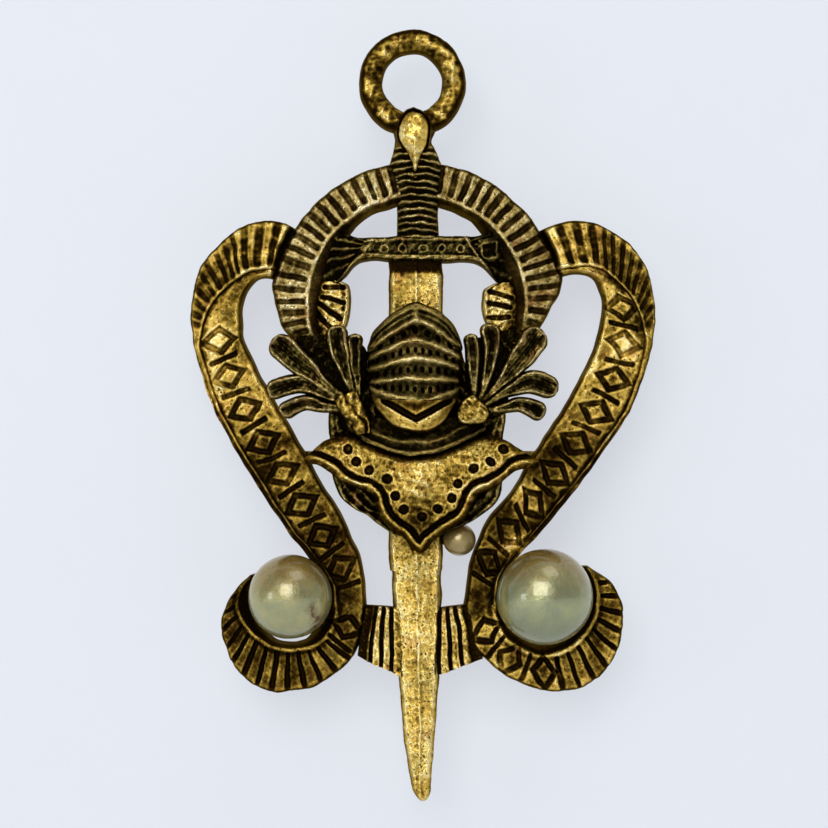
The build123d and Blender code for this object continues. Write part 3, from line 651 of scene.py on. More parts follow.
def crossguard():
    def shape(along, t, u, v, width):
        down = t * width
        up = (1 - t) * width
        middle = -14.05
        slant = 0.65 * (v - middle)
        side = step(0.2, 0.45, -u - 4.45 + slant) + step(0.1, 0.35, u - 4.8 + slant)
        bordered = profile(down, (0, -0.3), (0.16, 0), (0.32, 0), (0.5, -0.22), (3, -0.22))
        foot = profile(up, (0, -0.35), (0.12, 0.02), (0.38, 0.08), (0.55, -0.22), (3, -0.22))
        bordered = np.maximum(bordered, foot)
        for dot in GUARD_DOTS:
            bordered = bordered + 0.17 * bump(np.hypot(u - dot, v - middle) - 0.32, 0.14)
        bordered = bordered + 0.26 * bump(-u - 4.2 + slant, 0.32) + 0.26 * bump(u - 4.7 + slant, 0.18)
        fan = np.arctan2(v - middle, np.abs(u) - 3.2) * 3.2
        rim = profile(np.minimum(down, up), (0, -0.3), (0.2, 0), (9, 0))
        fluted = 0.12 * np.cos(2 * math.pi * fan / 0.75) - 0.2 + rim
        frame_line = np.maximum(np.abs(u - 6.1) - 0.62, np.abs(v + 14.15 - 0.1 * (u - 6)) - 0.62)
        panel = 0.12 * bump(frame_line, 0.16) - 0.15 * step(0.0, -0.2, frame_line) - 0.12
        fluted = np.where((u > 0) & (frame_line < 0.35), panel, fluted)
        lean_back = -0.9 * step(5.3, 7.6, np.abs(u))
        # The fluted ends, tucked under the arch, are painted darker as shade.
        tone = 0.02 - 0.28 * side + 0.2 * bump(frame_line, 0.2) * (u > 0)
        return 2.42 + bordered * (1 - side) + fluted * side + lean_back + 0.05 * ripple(u, v, 0.6, 27), tone

    casting("crossguard", GUARD_EDGES, shape, dull_gold, base=0.5, spacing=FINER)


BLADE_EDGES = [
    (-2.3, -14.8, 2.15, -14.8), (-2.3, -38.5, 2.15, -38.5), (-2.1, -41.0, 2.05, -41.0),
    (-1.9, -44.0, 2.0, -44.0), (-1.45, -50.0, 1.8, -50.0), (-1.05, -55.0, 1.5, -55.0),
    (-0.75, -57.0, 1.3, -57.0), (-0.4, -58.7, 1.15, -58.7), (-0.2, -59.6, 1.1, -59.6),
    (0.15, -60.15, 0.85, -60.15), (0.42, -60.3, 0.58, -60.3),
]


def blade():
    def shape(along, t, u, v, width):
        ridge_u = 0.3 * step(-38, -56, v)
        from_ridge = np.abs(u - ridge_u)
        edge = np.minimum(t, 1 - t) * width
        faces = 1.98 - 0.3 * np.clip(from_ridge / 2.2, 0, 1.1)
        fine_ridge = 0.05 * bump(from_ridge, 0.1) - 0.03 * bump(from_ridge - 0.24, 0.1)
        bevel = profile(edge, (0, -0.55), (0.22, -0.08), (0.32, 0), (9, 0))
        shade = 0.1 - 0.8 * step(-16.3, -15.7, v) - 0.08 * step(0.3, -0.3, u) * step(-38, -30, v)
        return faces + fine_ridge + bevel + 0.03 * ripple(u, v, 0.7, 29, 3), shade

    casting("blade", BLADE_EDGES, shape, bright_gold, spacing=0.065, draft=(0.05, 0.05))


# ---- Ribbon ----
# The arch's outer radius at each of these angles. It flares where the ribbon turns back.
ARCH_FLARE = [
    (-34, 9.2), (-18, 9.7), (-10, 10.4), (0, 11.3), (4, 11.9), (12, 12.4), (26, 11.9), (155, 11.9),
    (172, 12.1), (185, 11.5), (194, 10.8), (204, 9.9), (220, 9.2),
]
# How far its inner wall spreads at the back, from its right end to its left.
ARCH_FOOT = [0.5, 0.9, 1.1, 1.7, 1.1, 0.6, 0.5, 0.5, 0.5, 0.6, 1.1, 1.7, 1.1, 0.9, 0.5]


def ribbon_arch():
    angles = np.arange(-34, 221, 3)
    outer = np.interp(angles, *np.array(ARCH_FLARE).T)
    edges = [arc(ARCH, ARCH_RIM, a) + arc(ARCH, radius, a) for a, radius in zip(angles, outer)]
    grooves = [a + 0.7 * math.sin(7 * a) for a in np.arange(-31, 219, 5.5)]

    def shape(along, t, u, v, width):
        turn = np.degrees(np.arctan2(v - ARCH[1], u - ARCH[0]))
        turn = np.where(turn < -90, turn + 360, turn)
        low_end = step(-14, -24, turn) + step(200, 210, turn)
        radius = arch_radius(u, v)
        outwards = radius - ARCH_RIM
        rib = cuts(turn, grooves, 0.52, 0.27, 31, radius * math.pi / 180)
        rim = profile(outwards, (0, -0.25), (0.12, 0), (0.35, 0.02), (0.6, 0), (4, 0))
        rim = rim + 0.05 * ripple(u, v, 1.3, 32)
        edge = profile((1 - t) * width, (0, -0.3), (0.25, 0), (4, 0))
        height = 2.0 - 0.1 * outwards + rim + rib * step(0.3, 0.65, outwards) + edge - 0.35 * low_end
        shade = 0.06 - 0.14 * step(1.0, 2.8, outwards) - 0.4 * low_end - 0.08 * step(0, 7, u)
        return height, shade

    casting("ribbon_arch", edges, shape, band_gold, draft=(ARCH_FOOT, 0.2), levels=7, wall=0.2)


def engraving(along, side, first, last):
    """Depth of a border of lozenges and bars along a band. `side` is measured from the band's middle."""
    depth = np.zeros(np.broadcast(along, side).shape)
    for index in range(round((last - first) / LOZENGE_PITCH)):
        here = along - first - (index + 0.5) * LOZENGE_PITCH
        diamond = np.abs(np.abs(here) / 0.95 + np.abs(side) / 1.3 - 1) * 0.76
        depth = np.maximum(depth, trough(diamond, 0.5) * (1 - 0.25 * (index % 3 == 1)))
        bar = np.abs(here - LOZENGE_PITCH / 2 - 0.12 * side * (1 - 2 * (index % 2)))
        cut = trough(bar, 0.44) * step(1.35, 1.15, np.abs(side)) * (1 - 0.2 * (index % 2))
        depth = np.maximum(depth, cut)
    return depth * step(first - 0.4, first, along) * step(last + 0.4, last, along)


def scroll(name, fold, face, ribs, fold_end, marks, dullness):
    """One long side of the ribbon: the ribbed fold over the top, and the engraved face inside it."""
    face = np.array(face)
    outwards = face[:, 2:] - face[:, :2]
    overlap = 0.35 * outwards / np.linalg.norm(outwards, axis=1)[:, None]
    under_fold = np.hstack([face[:, :2], face[:, 2:] + overlap])

    def fold_shape(along, t, u, v, width):
        outwards = t * width
        inside = (1 - t) * width
        # Where the fold passes under the arch it is sunk and painted darker as the arch's shadow.
        under_arch = step(12.7, 12.0, arch_radius(u, v))
        ribbed = step(fold_end + 1.0, fold_end - 1.0, along)
        rim = profile(outwards, (0, -0.3), (0.16, 0.06), (0.3, 0.06), (0.5, -0.06), (6, -0.12))
        edge = profile(inside, (0, -0.3), (0.18, 0), (6, 0))
        rib = cuts(along, ribs[:3], 0.62, 0.24, 33) + cuts(along, ribs[3:], 0.48, 0.15, 34)
        rib = rib * step(0.15, 0.5, outwards) * (1 + 0.2 * ripple(u, v, 1.1, 38))
        height = 2.0 - 0.85 * under_arch + rim + edge + ribbed * (rib - 0.25 * t) - 0.12 * (1 - ribbed)
        dulled = 0.24 * step(4.6, 6.2, along) * ribbed
        tone = -0.07 - 0.7 * dulled + 0.13 * ripple(u, v, 1.5, 34) - 0.45 * under_arch
        return height, tone + 0.7 * rib * ribbed * step(6.2, 4.6, along)

    def face_shape(along, t, u, v, width):
        across = (t - 0.5) * width
        rim = profile(t * width, (0, -0.35), (0.18, 0), (8, 0))
        foot = -0.15 * bump((1 - t) * width - 0.35, 0.35)
        cut = engraving(along, across, *marks)
        # Where the face passes under the arch it is sunk and painted darker as the arch's shadow.
        under_arch = step(12.7, 12.0, arch_radius(u, v)) * step(-17.6, -17.2, v)
        height = 1.72 + rim + foot - 0.3 * cut - 0.6 * under_arch + 0.05 * ripple(u, v, 1.6, 35)
        patina = 0.16 * ripple(u, v, 5.0, 39, 3)
        dulled = dullness * step(0.3, 0.6, along / 38)
        return height, 0.03 + 0.14 * cut + patina - dulled - 0.4 * under_arch

    cast = Casting()
    strip(cast, under_fold, face_shape, draft=(0.18, 0.0))
    strip(cast, fold, fold_shape, draft=(0.0, 0.15))
    cast.make(name + "_cast", gold, name)


LEFT_FOLD = [
    (-10.6, -16.7, -9.3, -13.4), (-11.6, -16.0, -10.3, -12.35), (-12.6, -15.8, -11.9, -11.75),
    (-13.7, -15.95, -13.7, -11.85), (-14.7, -16.45, -15.4, -12.7), (-15.7, -17.15, -16.9, -14.0),
    (-16.55, -18.0, -18.0, -15.4), (-17.2, -18.9, -18.65, -17.4), (-17.7, -20.2, -18.9, -19.5),
    (-17.98, -21.6, -18.75, -21.2), (-17.75, -23.2, -18.4, -23.0), (-16.3, -27.5, -16.9, -27.3),
    (-13.6, -32.35, -14.2, -32.0), (-10.45, -37.2, -11.0, -36.8), (-8.5, -39.7, -9.0, -39.3),
    (-6.85, -42.0, -7.3, -41.8), (-6.4, -44.6, -6.95, -44.6),
]
LEFT_FACE = [
    (-11.0, -16.75, -11.0, -16.4), (-12.1, -16.35, -12.1, -15.8), (-13.1, -16.35, -13.5, -15.85),
    (-13.8, -16.8, -14.9, -16.45), (-14.4, -17.7, -16.2, -17.45), (-14.8, -19.0, -17.2, -18.8),
    (-14.85, -20.5, -17.8, -20.7), (-14.5, -22.0, -17.95, -22.8), (-13.0, -25.2, -16.8, -27.0),
    (-9.9, -30.5, -13.8, -32.5), (-8.0, -34.0, -11.5, -36.0), (-6.7, -35.9, -10.1, -38.0),
    (-5.7, -38.2, -8.6, -39.9), (-4.8, -40.2, -7.3, -41.7), (-4.4, -43.0, -6.6, -43.6),
    (-4.4, -44.6, -6.55, -44.6),
]
RIGHT_FOLD = [
    (10.9, -16.4, 9.4, -13.6), (12.0, -15.9, 10.3, -12.6), (13.0, -15.65, 11.7, -12.05),
    (14.2, -15.5, 13.3, -11.7), (15.4, -15.8, 14.9, -11.85), (16.4, -16.5, 16.4, -12.6),
    (17.25, -17.3, 17.7, -13.5), (17.95, -18.2, 18.9, -14.9), (18.5, -19.1, 19.6, -16.6),
    (18.85, -20.3, 20.0, -18.8), (19.1, -21.6, 19.85, -21.2), (18.75, -23.6, 19.35, -23.5),
    (17.5, -27.2, 18.1, -27.0), (15.3, -30.6, 15.9, -30.3), (12.65, -34.25, 13.2, -33.9),
    (8.55, -39.1, 9.0, -38.7), (6.6, -41.7, 7.05, -41.5), (6.3, -44.6, 6.85, -44.6),
]
RIGHT_FACE = [
    (11.0, -16.6, 11.0, -16.2), (12.3, -16.15, 12.2, -15.75), (13.4, -15.95, 13.5, -15.6),
    (14.5, -16.05, 14.9, -15.65), (15.2, -16.6, 16.3, -16.4), (15.6, -17.5, 17.2, -17.3),
    (15.8, -18.6, 18.0, -18.4), (15.65, -20.0, 18.75, -20.2), (15.2, -22.0, 19.0, -23.1),
    (13.7, -25.3, 17.8, -27.0), (11.8, -28.5, 15.5, -30.6), (9.8, -31.5, 12.9, -34.2),
    (8.3, -34.2, 10.2, -37.4), (6.5, -36.3, 8.8, -38.9), (5.5, -38.0, 7.6, -40.4),
    (4.7, -40.3, 6.8, -41.7), (4.2, -43.8, 6.45, -44.0), (4.2, -44.6, 6.45, -44.6),
]


def curl(name, lip, grooves, marks, seed, foot, tone):
    """The ribbon's end, curling round a pearl. `foot` is how far its inner wall spreads at the back."""

    def shape(along, t, u, v, width):
        inside = t * width
        outside = (1 - t) * width
        rim = profile(inside, (0, -0.2), (0.12, 0.12), (0.34, 0.12), (0.58, -0.06), (0.8, 0), (6, -0.15))
        edge = profile(outside, (0, -0.35), (0.25, 0), (6, 0))
        rib = cuts(along, grooves, 0.4, 0.4, seed) * step(0.38, 0.6, inside)
        cut = engraving(along, (t - 0.5) * width, *marks)
        low_start = -0.25 * step(2.0, 0.0, along)
        height = 1.95 + low_start + rim + edge + rib - 0.3 * cut
        # The raised inner lip is lightened, as wear and a painted highlight; the far end is darker with
        # tarnish.
        wear_and_painted_light = 0.16 * bump(inside - 0.24, 0.14) - 0.12 * step(11.0, 16.0, along)
        return height, wear_and_painted_light + 0.1 * ripple(u, v, 3.0, seed + 3) + tone

    casting(name, lip, shape, gold, draft=(foot, 0.15), levels=6, wall=0.02)


LEFT_CURL = [
    (-6.9, -43.9, -4.4, -43.9), (-7.0, -44.8, -4.5, -45.3), (-7.3, -45.7, -4.9, -47.0),
    (-7.9, -46.5, -5.6, -48.3), (-8.7, -47.0, -7.0, -49.7), (-9.6, -47.3, -8.8, -50.7),
    (-10.6, -47.4, -10.5, -51.05), (-11.6, -47.2, -12.2, -51.05), (-12.6, -46.75, -13.7, -50.5),
    (-13.4, -46.2, -14.9, -49.4), (-14.1, -45.4, -15.8, -47.9), (-14.6, -44.5, -16.3, -46.2),
    (-14.8, -43.6, -16.15, -44.5), (-14.6, -42.7, -15.5, -43.1), (-13.7, -41.3, -13.9, -41.35),
]
RIGHT_CURL = [
    (6.75, -43.9, 4.2, -43.9), (6.8, -44.7, 4.4, -45.5), (7.2, -45.7, 4.9, -47.3),
    (7.8, -46.6, 5.9, -48.5), (8.6, -47.25, 7.2, -49.5), (9.6, -47.7, 9.0, -50.5),
    (10.7, -47.9, 11.0, -51.0), (12.0, -47.6, 12.9, -51.05), (13.1, -46.95, 14.7, -50.3),
    (13.9, -46.1, 16.1, -48.9), (14.5, -45.2, 17.0, -47.0), (14.85, -44.2, 17.3, -45.0),
    (14.95, -43.2, 17.0, -43.4), (14.85, -42.2, 16.2, -42.0), (14.1, -40.7, 14.3, -40.7),
]


def link_band(name, edges, grooves, shaded):
    """The short band between a curl and the blade, with steep ridges. `shaded` is its side at the curl, sunk
    and painted dark as the curl's shadow.
    """

    def shape(along, t, u, v, width):
        groove = sum(trough(np.abs(t - at) * width, 0.34) for at in grooves)
        edge = profile(along, (0, -0.3), (0.3, 0), (99, 0))
        near_curl = step(0.28, 0.16, np.abs(t - shaded))
        height = 1.9 - 0.45 * np.clip(groove, 0, 1) + edge - 0.3 * near_curl + 0.06 * ripple(u, v, 0.8, 37)
        return height, -0.02 - 0.45 * near_curl

    casting(name, edges, shape, gold, spacing=FINER, draft=(0.0, 0.0))


LEFT_LINK = [(-4.2, -43.9, -1.5, -44.1), (-4.6, -46.0, -1.4, -46.5), (-5.0, -48.1, -1.3, -49.9)]
RIGHT_LINK = [(1.8, -44.2, 4.4, -43.8), (1.7, -47.0, 5.0, -46.2), (1.6, -49.8, 5.5, -48.4)]


def tail(name, edges, cut_lines):
    """The ribbon's other end, hanging inside the arch, cut into broad slanting slabs."""

    def shape(along, t, u, v, width):
        near = np.minimum(t, 1 - t) * width
        edge = profile(near, (0, -0.4), (0.12, 0.05), (0.3, 0.08), (0.45, -0.12), (0.62, 0.0), (9, 0))
        cut = sum(trough(distance_to(line, u, v, 12), 0.42) for line in cut_lines)
        # Where the tail turns back under the arch rim it is sunk and painted darker as shade.
        turned_back = step(1.5, 0.5, ARCH_RIM - arch_radius(u, v))
        height = 1.5 + edge - 0.4 * np.clip(cut, 0, 1) - 0.3 * turned_back + 0.06 * ripple(u, v, 0.8, 40)
        return height, 0.1 - 0.5 * turned_back

    casting(name, edges, shape, bright_gold, spacing=FINER)


LEFT_TAIL = [
    (-8.8, -16.7, -6.6, -16.7), (-8.9, -17.3, -5.85, -17.1), (-9.0, -18.2, -5.65, -18.2),
    (-9.0, -19.2, -5.7, -19.3), (-8.9, -20.0, -5.85, -20.2), (-8.8, -20.8, -6.2, -20.75),
    (-8.6, -21.4, -7.2, -21.3),
]
LEFT_TAIL_CUTS = [
    [(-7.7, -17.15), (-6.1, -17.3)],
    [(-7.9, -18.0), (-6.1, -18.55)],
    [(-8.3, -18.5), (-6.4, -19.9)],
    [(-8.6, -19.2), (-7.1, -20.7)],
]
RIGHT_TAIL = [
    (6.6, -16.9, 8.8, -16.8), (5.75, -17.4, 8.9, -17.4), (5.55, -18.6, 9.0, -18.6),
    (5.65, -19.5, 9.0, -19.6), (6.0, -20.3, 8.9, -20.5), (6.8, -21.0, 8.7, -21.2),
]
RIGHT_TAIL_CUTS = [
    [(6.1, -17.55), (8.0, -18.15)],
    [(6.0, -18.5), (7.9, -18.95)],
    [(6.0, -19.8), (7.8, -19.75)],
]


# ---- Shield, helmet and gorget ----
SHIELD_EDGES = [
    (-3.0, -20.6, 3.0, -20.6), (-4.4, -24.4, 4.4, -24.4), (-7.0, -27.1, 7.1, -27.1),
    (-7.1, -30.0, 7.2, -30.0), (-6.95, -32.6, 7.2, -32.6), (-6.5, -34.3, 6.9, -34.5),
    (-5.4, -35.6, 6.0, -35.8), (-4.0, -36.3, 4.7, -36.7), (-2.3, -37.6, 2.5, -37.8),
    (-0.6, -38.4, 0.6, -38.4),
]


def backing_shield():
    def shape(along, t, u, v, width):
        near = np.minimum(t, 1 - t) * width
        rim = profile(near, (0, -0.2), (0.12, 0.05), (0.3, 0.05), (0.5, -0.12), (1.2, -0.1), (9, -0.1))
        fluted = 0.1 * np.cos(2 * math.pi * (near + 0.25 * v) / 1.1) * step(0.4, 0.7, near)
        return 2.62 + rim + fluted + 0.08 * ripple(u, v, 0.9, 41, 3)

    casting("backing_shield", SHIELD_EDGES, shape, dull_gold, base=SHIELD_LOW)


def vault(u):
    """The helmet's barrel."""
    x = np.clip((u - HELM_U) / HELM_HALF, -0.995, 0.995)
    return SHIELD_TOP + HELM_RISE * np.sqrt(1 - x * x)


# Each ridge's v at the middle, its drop at the sides, and the power of its curve.
HELM_RIDGES = [
    (-20.1, 2.5, 1.2), (-21.75, 1.6, 1.3), (-23.3, 0.95, 1.6), (-24.95, 0.35, 2.0),
    (-26.75, -1.15, 1.6),
]
WIDE_PITCH = 0.95      # of the sight slots in the top row
FINE_PITCH = 0.62      # and in the rows below it


def helmet_face(u, v):
    """Height and tone of the arched ridges round the helmet and the rows of sight slots between them."""
    total = np.zeros(np.broadcast(u, v).shape)
    lines = [top - drop * (np.abs(u) / 4) ** power for top, drop, power in HELM_RIDGES]
    for line in lines:
        total = np.maximum(total, bump(v - line - 0.04 * ripple(u, v, 1.1, 43), 0.33))
    relief = 0.46 * total
    shade = np.zeros(total.shape)
    for index, (upper, lower) in enumerate(zip(lines, lines[1:])):
        row = upper * 0.48 + lower * 0.52
        pitch = FINE_PITCH if index else WIDE_PITCH
        place_in_row = (u - HELM_U) / pitch
        slot = np.abs(place_in_row - np.round(place_in_row)) * pitch
        oval = np.hypot(slot / (0.14 if index else 0.2), (v - row + 0.05 * ripple(u, v, 1.7, 44)) / 0.22)
        opening = step(1.3, 0.6, oval) * step(3.7, 3.3, np.abs(u))
        depth = (0.24 if index else 0.36) * (0.85 + 0.3 * ripple(u, v, 1.4, 46))
        relief = relief - depth * opening - 0.05 * bump(v - row, 0.35)
        shade = shade - (0.06 if index > 1 else -0.08) * bump(v - row, 0.42)
    return relief, shade


def helmet_part(name, edges, extra, material):
    """A plate of the helmet, with the relief of extra(below its top, above its foot, u, v) added."""

    def shape(along, t, u, v, width):
        own, shade = extra(t * width, (1 - t) * width, u, v)
        relief, row_shade = helmet_face(u, v)
        # The helmet's rounded sides are painted darker as shade, more so away from the middle.
        from_middle = (u - HELM_U) / HELM_HALF
        return vault(u) - 0.35 + relief + own, 0.09 + shade + row_shade - 0.3 * from_middle**2

    casting(name, edges, shape, material, base=PLATE_FOOT, spacing=FINEST, draft=(0.03, 0.03), levels=4)


def brow(u):
    """Where the visor begins."""
    return -21.9 - 0.045 * u * u


def chin(u):
    """Where the bevor begins."""
    return -26.75 + 0.02 * u * u


CREST = [
    (-4.05, -22.3), (-3.7, -21.2), (-3.0, -20.35), (-2.1, -19.6), (-1.1, -19.0), (0.0, -18.6),
    (1.1, -19.0), (2.1, -19.55), (2.95, -20.3), (3.55, -21.2), (3.8, -22.3),
]
BEVOR_RIM = [
    (-3.7, -26.75), (-3.3, -27.5), (-2.6, -28.3), (-1.5, -29.05), (0.1, -29.4), (1.6, -29.05),
    (2.5, -28.3), (2.95, -27.5), (3.3, -26.75),
]
VISOR_LEFT, VISOR_RIGHT = -4.05, 3.6


def helmet():
    def crest(below, above, u, v):
        points = [(0, -0.5), (0.2, -0.1), (0.5, 0.05), (0.75, -0.12), (0.95, 0.06), (1.2, -0.1), (9, -0.05)]
        peak = 0.25 * bump(u, 0.35) * step(-19.0, -19.4, v) * step(-21.0, -20.2, v)
        return profile(below, *points) + peak, -0.08

    helmet_part("helmet_skull", [(u, v, u * 0.99, brow(u)) for u, v in CREST], crest, dull_gold)

    def plain(below, above, u, v):
        return 0.0, 0.0

    across = np.linspace(VISOR_LEFT, VISOR_RIGHT, 9)
    helmet_part("helmet_visor", [(u, brow(u), u * 0.97, chin(u)) for u in across], plain, dull_gold)

    def bevor(below, above, u, v):
        crease = -28.25 + 0.56 * np.abs(u)
        groove = -0.6 * trough(np.abs(v - crease), 0.62) * step(3.1, 2.6, np.abs(u))
        lower = step(crease, crease - 0.25, v)
        rim = profile(above, (0, -0.35), (0.2, 0.0), (9, 0))
        height = groove + rim + lower * (0.1 - 0.28 * np.clip(crease - v, 0, 3)) + 0.1 * (1 - lower)
        return height, -0.06 * lower - 0.28 * (1 - lower)

    helmet_part("helmet_bevor", [(u, chin(u), u, v) for u, v in BEVOR_RIM], bevor, gold)


NECKLINE = [
    (-5.6, -29.5), (-4.3, -30.35), (-2.8, -31.0), (-1.3, -31.4), (0.1, -31.5), (1.6, -31.3),
    (3.0, -30.8), (4.6, -30.1), (5.8, -29.4),
]
ROLL_TOP = [
    (-5.0, -27.9), (-3.9, -28.2), (-2.9, -28.3), (-1.5, -28.8), (0.1, -29.1), (1.7, -28.8), (2.9, -28.2),
    (4.0, -28.1), (5.1, -27.8),
]
# The roll's height above its plain surface, going up from the neckline.
ROLL_SECTION = [
    (0, 0), (0.25, 0.3), (0.5, 0.3), (0.75, 0), (1.0, 0), (1.3, 0.14), (1.7, 0.0), (2.2, 0.05), (9, 0),
]


def neck_roll():
    def shape(along, t, u, v, width):
        up = (1 - t) * width
        height = 3.9 - 0.036 * u**2 + profile(up, *ROLL_SECTION)
        return height - 0.35 * step(0.9, 2.6, up) + 0.02 * ripple(u, v, 1.1, 45)

    edges = [top + low for top, low in zip(ROLL_TOP, NECKLINE)]
    steep = (0.05, 0.05)
    casting("neck_roll", edges, shape, dull_gold, base=PLATE_FOOT, spacing=FINER, draft=steep, tone=-0.1)


GORGET_EDGES = [
    (-9.35, -31.55, -9.2, -32.05), (-8.0, -30.4, -8.3, -32.05), (-7.0, -29.9, -7.2, -32.65),
    (-5.8, -29.7, -6.2, -33.5), (-4.9, -30.0, -5.0, -34.05), (-4.1, -30.45, -4.0, -34.3),
    (-3.5, -30.75, -3.55, -34.9), (-2.9, -31.0, -3.3, -35.8), (-2.2, -31.2, -2.6, -36.9),
    (-1.2, -31.4, -1.5, -37.8), (0.1, -31.5, 0.3, -39.35), (1.2, -31.4, 1.6, -38.2),
    (2.3, -31.1, 2.9, -37.3), (3.3, -30.7, 4.0, -36.5), (4.2, -30.3, 4.6, -35.5),
    (5.0, -29.9, 5.1, -34.5), (6.0, -29.7, 6.1, -34.1), (7.2, -30.0, 7.1, -33.5),
    (8.5, -30.8, 8.4, -32.5), (10.2, -31.9, 10.1, -32.3),
]
GORGET_DOTS = [
    (-5.7, -30.8), (-5.0, -31.75), (-3.9, -32.45), (-2.4, -33.2), (-1.8, -34.6), (-1.0, -35.7),
    (0.45, -36.35), (1.75, -35.7), (2.9, -34.8), (3.4, -33.6), (4.7, -32.4), (6.1, -31.8), (7.2, -30.8),
]


def gorget():
    upper = [row[:2] for row in GORGET_EDGES]
    lower = [row[2:] for row in GORGET_EDGES]

    def shape(along, t, u, v, width):
        x = np.clip((u - 0.4) / 11.0, -0.99, 0.99)
        dome = 2.75 + 1.95 * np.sqrt(1 - x * x) + 0.6 * bump(np.hypot(u - 0.2, (v + 33.2) * 0.9), 1.8)
        dome = dome - 0.13 * np.clip(-34.2 - v, 0, 6) * step(4.0, 1.0, np.abs(u))
        low = distance_to(lower, u, v)
        high = distance_to(upper, u, v)
        rolls = profile(low, (0, -0.8), (0.14, -0.42), (0.3, -0.14), (0.44, 0.1), (0.58, 0.14), (0.7, -0.02),
                        (0.82, -0.44), (1.0, -0.46), (1.14, -0.1), (1.28, 0.06), (1.6, 0.0), (20, 0))
        top_roll = profile(high, (0, -0.6), (0.25, -0.2), (0.45, 0.02), (0.7, 0.0), (20, 0))
        dots = np.zeros(u.shape)
        for du, dv in GORGET_DOTS:
            away = np.hypot(u - du, v - dv)
            dots = dots - 0.34 * step(0.44, 0.28, away) + 0.05 * bump(away - 0.5, 0.1)
        border = step(1.25, 1.0, low) + step(0.75, 0.5, high)
        # The boss and two spots on the shoulders are painted bright as highlights, partly wear, and the
        # lower tip is painted darker as shade.
        wear_and_painted_light = 0.22 * spot(u, v, 0.6, -33.2, 1.9) + 0.14 * spot(u, v, -6.0, -30.9, 1.3)
        wear_and_painted_light = wear_and_painted_light + 0.1 * spot(u, v, 5.6, -31.0, 1.6) - 0.26 * step(-34.3, -37.0, v)
        height = dome + rolls * (1 + 0.25 * ripple(u, v, 2.2, 48)) + top_roll + dots
        tone = wear_and_painted_light - 0.16 * border + 0.2 * bump(low - 0.54, 0.16) - 0.12
        return height + 0.05 * ripple(u, v, 0.9, 47, 3), tone

    casting("gorget", GORGET_EDGES, shape, bright_gold, base=PLATE_FOOT, spacing=FINEST, draft=(0.06, 0.06))


# ---- Plumes of spoon leaves ----
def spray(name, leaves, leaf_seed, grounds, ground_seed):
    """Spoon leaves, and the ground between them, painted dark as shade."""
    cast = Casting()
    for index, spine in enumerate(leaves):
        leaf(cast, spine, PLATE_FOOT, 3.9 - 0.06 * index, leaf_seed + index)

    def shape(along, t, u, v, width):
        return 2.9 + 0.08 * ripple(u, v, 0.7, ground_seed)

    for ground in grounds:
        # The ground's low tone is painted shade between the leaves.
        strip(cast, ground, shape, base=PLATE_FOOT, tone=-0.3)
    cast.make(name + "_cast", dull_gold, name)


# Each leaf's rows are (u, v, half width), from the stem to the tip.
LEFT_LEAVES = [
    [(-5.6, -26.9, 0.35), (-7.5, -25.5, 0.55), (-9.6, -23.7, 0.98), (-12.0, -21.6, 1.2)],
    [(-5.1, -26.6, 0.35), (-5.7, -24.9, 0.48), (-6.4, -22.7, 0.78), (-6.75, -20.4, 0.9)],
    [(-4.8, -26.6, 0.3), (-4.9, -25.0, 0.4), (-5.1, -23.4, 0.55), (-5.2, -21.2, 0.66)],
    [(-5.4, -27.0, 0.35), (-7.6, -26.2, 0.5), (-9.8, -25.3, 0.76), (-12.5, -26.1, 0.82)],
    [(-5.6, -27.4, 0.35), (-7.6, -27.3, 0.45), (-9.4, -26.9, 0.64), (-11.3, -27.9, 0.66)],
]
LEFT_WEB = [
    (-5.0, -25.2, -5.2, -28.2), (-6.2, -25.2, -6.2, -28.0), (-7.4, -25.7, -7.2, -27.7),
    (-8.3, -26.0, -8.0, -27.3),
]
LEFT_BETWEEN = [
    (-8.3, -25.6, -4.3, -25.6), (-9.0, -23.9, -4.2, -23.8), (-9.9, -22.3, -4.4, -22.3),
    (-10.0, -21.4, -6.6, -21.3),
]
LEFT_STEM = [
    (-6.9, -26.6, -4.9, -25.9), (-6.4, -27.6, -4.3, -27.4), (-5.6, -28.6, -3.9, -28.5),
    (-5.2, -29.6, -3.7, -29.4),
]
RIGHT_LEAVES = [
    [(4.7, -26.6, 0.3), (4.75, -25.0, 0.42), (4.7, -23.4, 0.56), (4.5, -21.2, 0.62)],
    [(5.2, -26.6, 0.28), (5.8, -24.9, 0.42), (6.2, -22.9, 0.68), (6.1, -20.3, 0.86)],
    [(5.5, -26.7, 0.3), (7.0, -25.2, 0.5), (8.7, -23.2, 1.0), (10.4, -20.8, 1.25)],
    [(5.8, -27.1, 0.3), (7.6, -26.0, 0.5), (9.5, -25.2, 0.9), (11.8, -25.9, 1.05)],
    [(5.9, -27.6, 0.3), (7.6, -27.3, 0.45), (8.9, -27.1, 0.7), (10.7, -28.0, 0.8)],
]
RIGHT_WEB = [
    (4.6, -25.4, 4.8, -28.2), (5.8, -25.3, 6.0, -28.1), (6.9, -25.6, 7.0, -27.8), (7.7, -26.0, 7.7, -27.4),
]
RIGHT_BETWEEN = [
    (4.2, -25.6, 7.7, -25.2), (4.2, -23.9, 8.2, -23.6), (4.4, -22.2, 9.0, -21.9), (6.2, -20.9, 9.4, -20.9),
]
RIGHT_KNOB = [
    (4.6, -26.1), (5.5, -26.8), (6.1, -27.7), (5.6, -28.6), (4.5, -28.9), (3.5, -28.5), (3.3, -27.6),
    (3.8, -26.7),
]


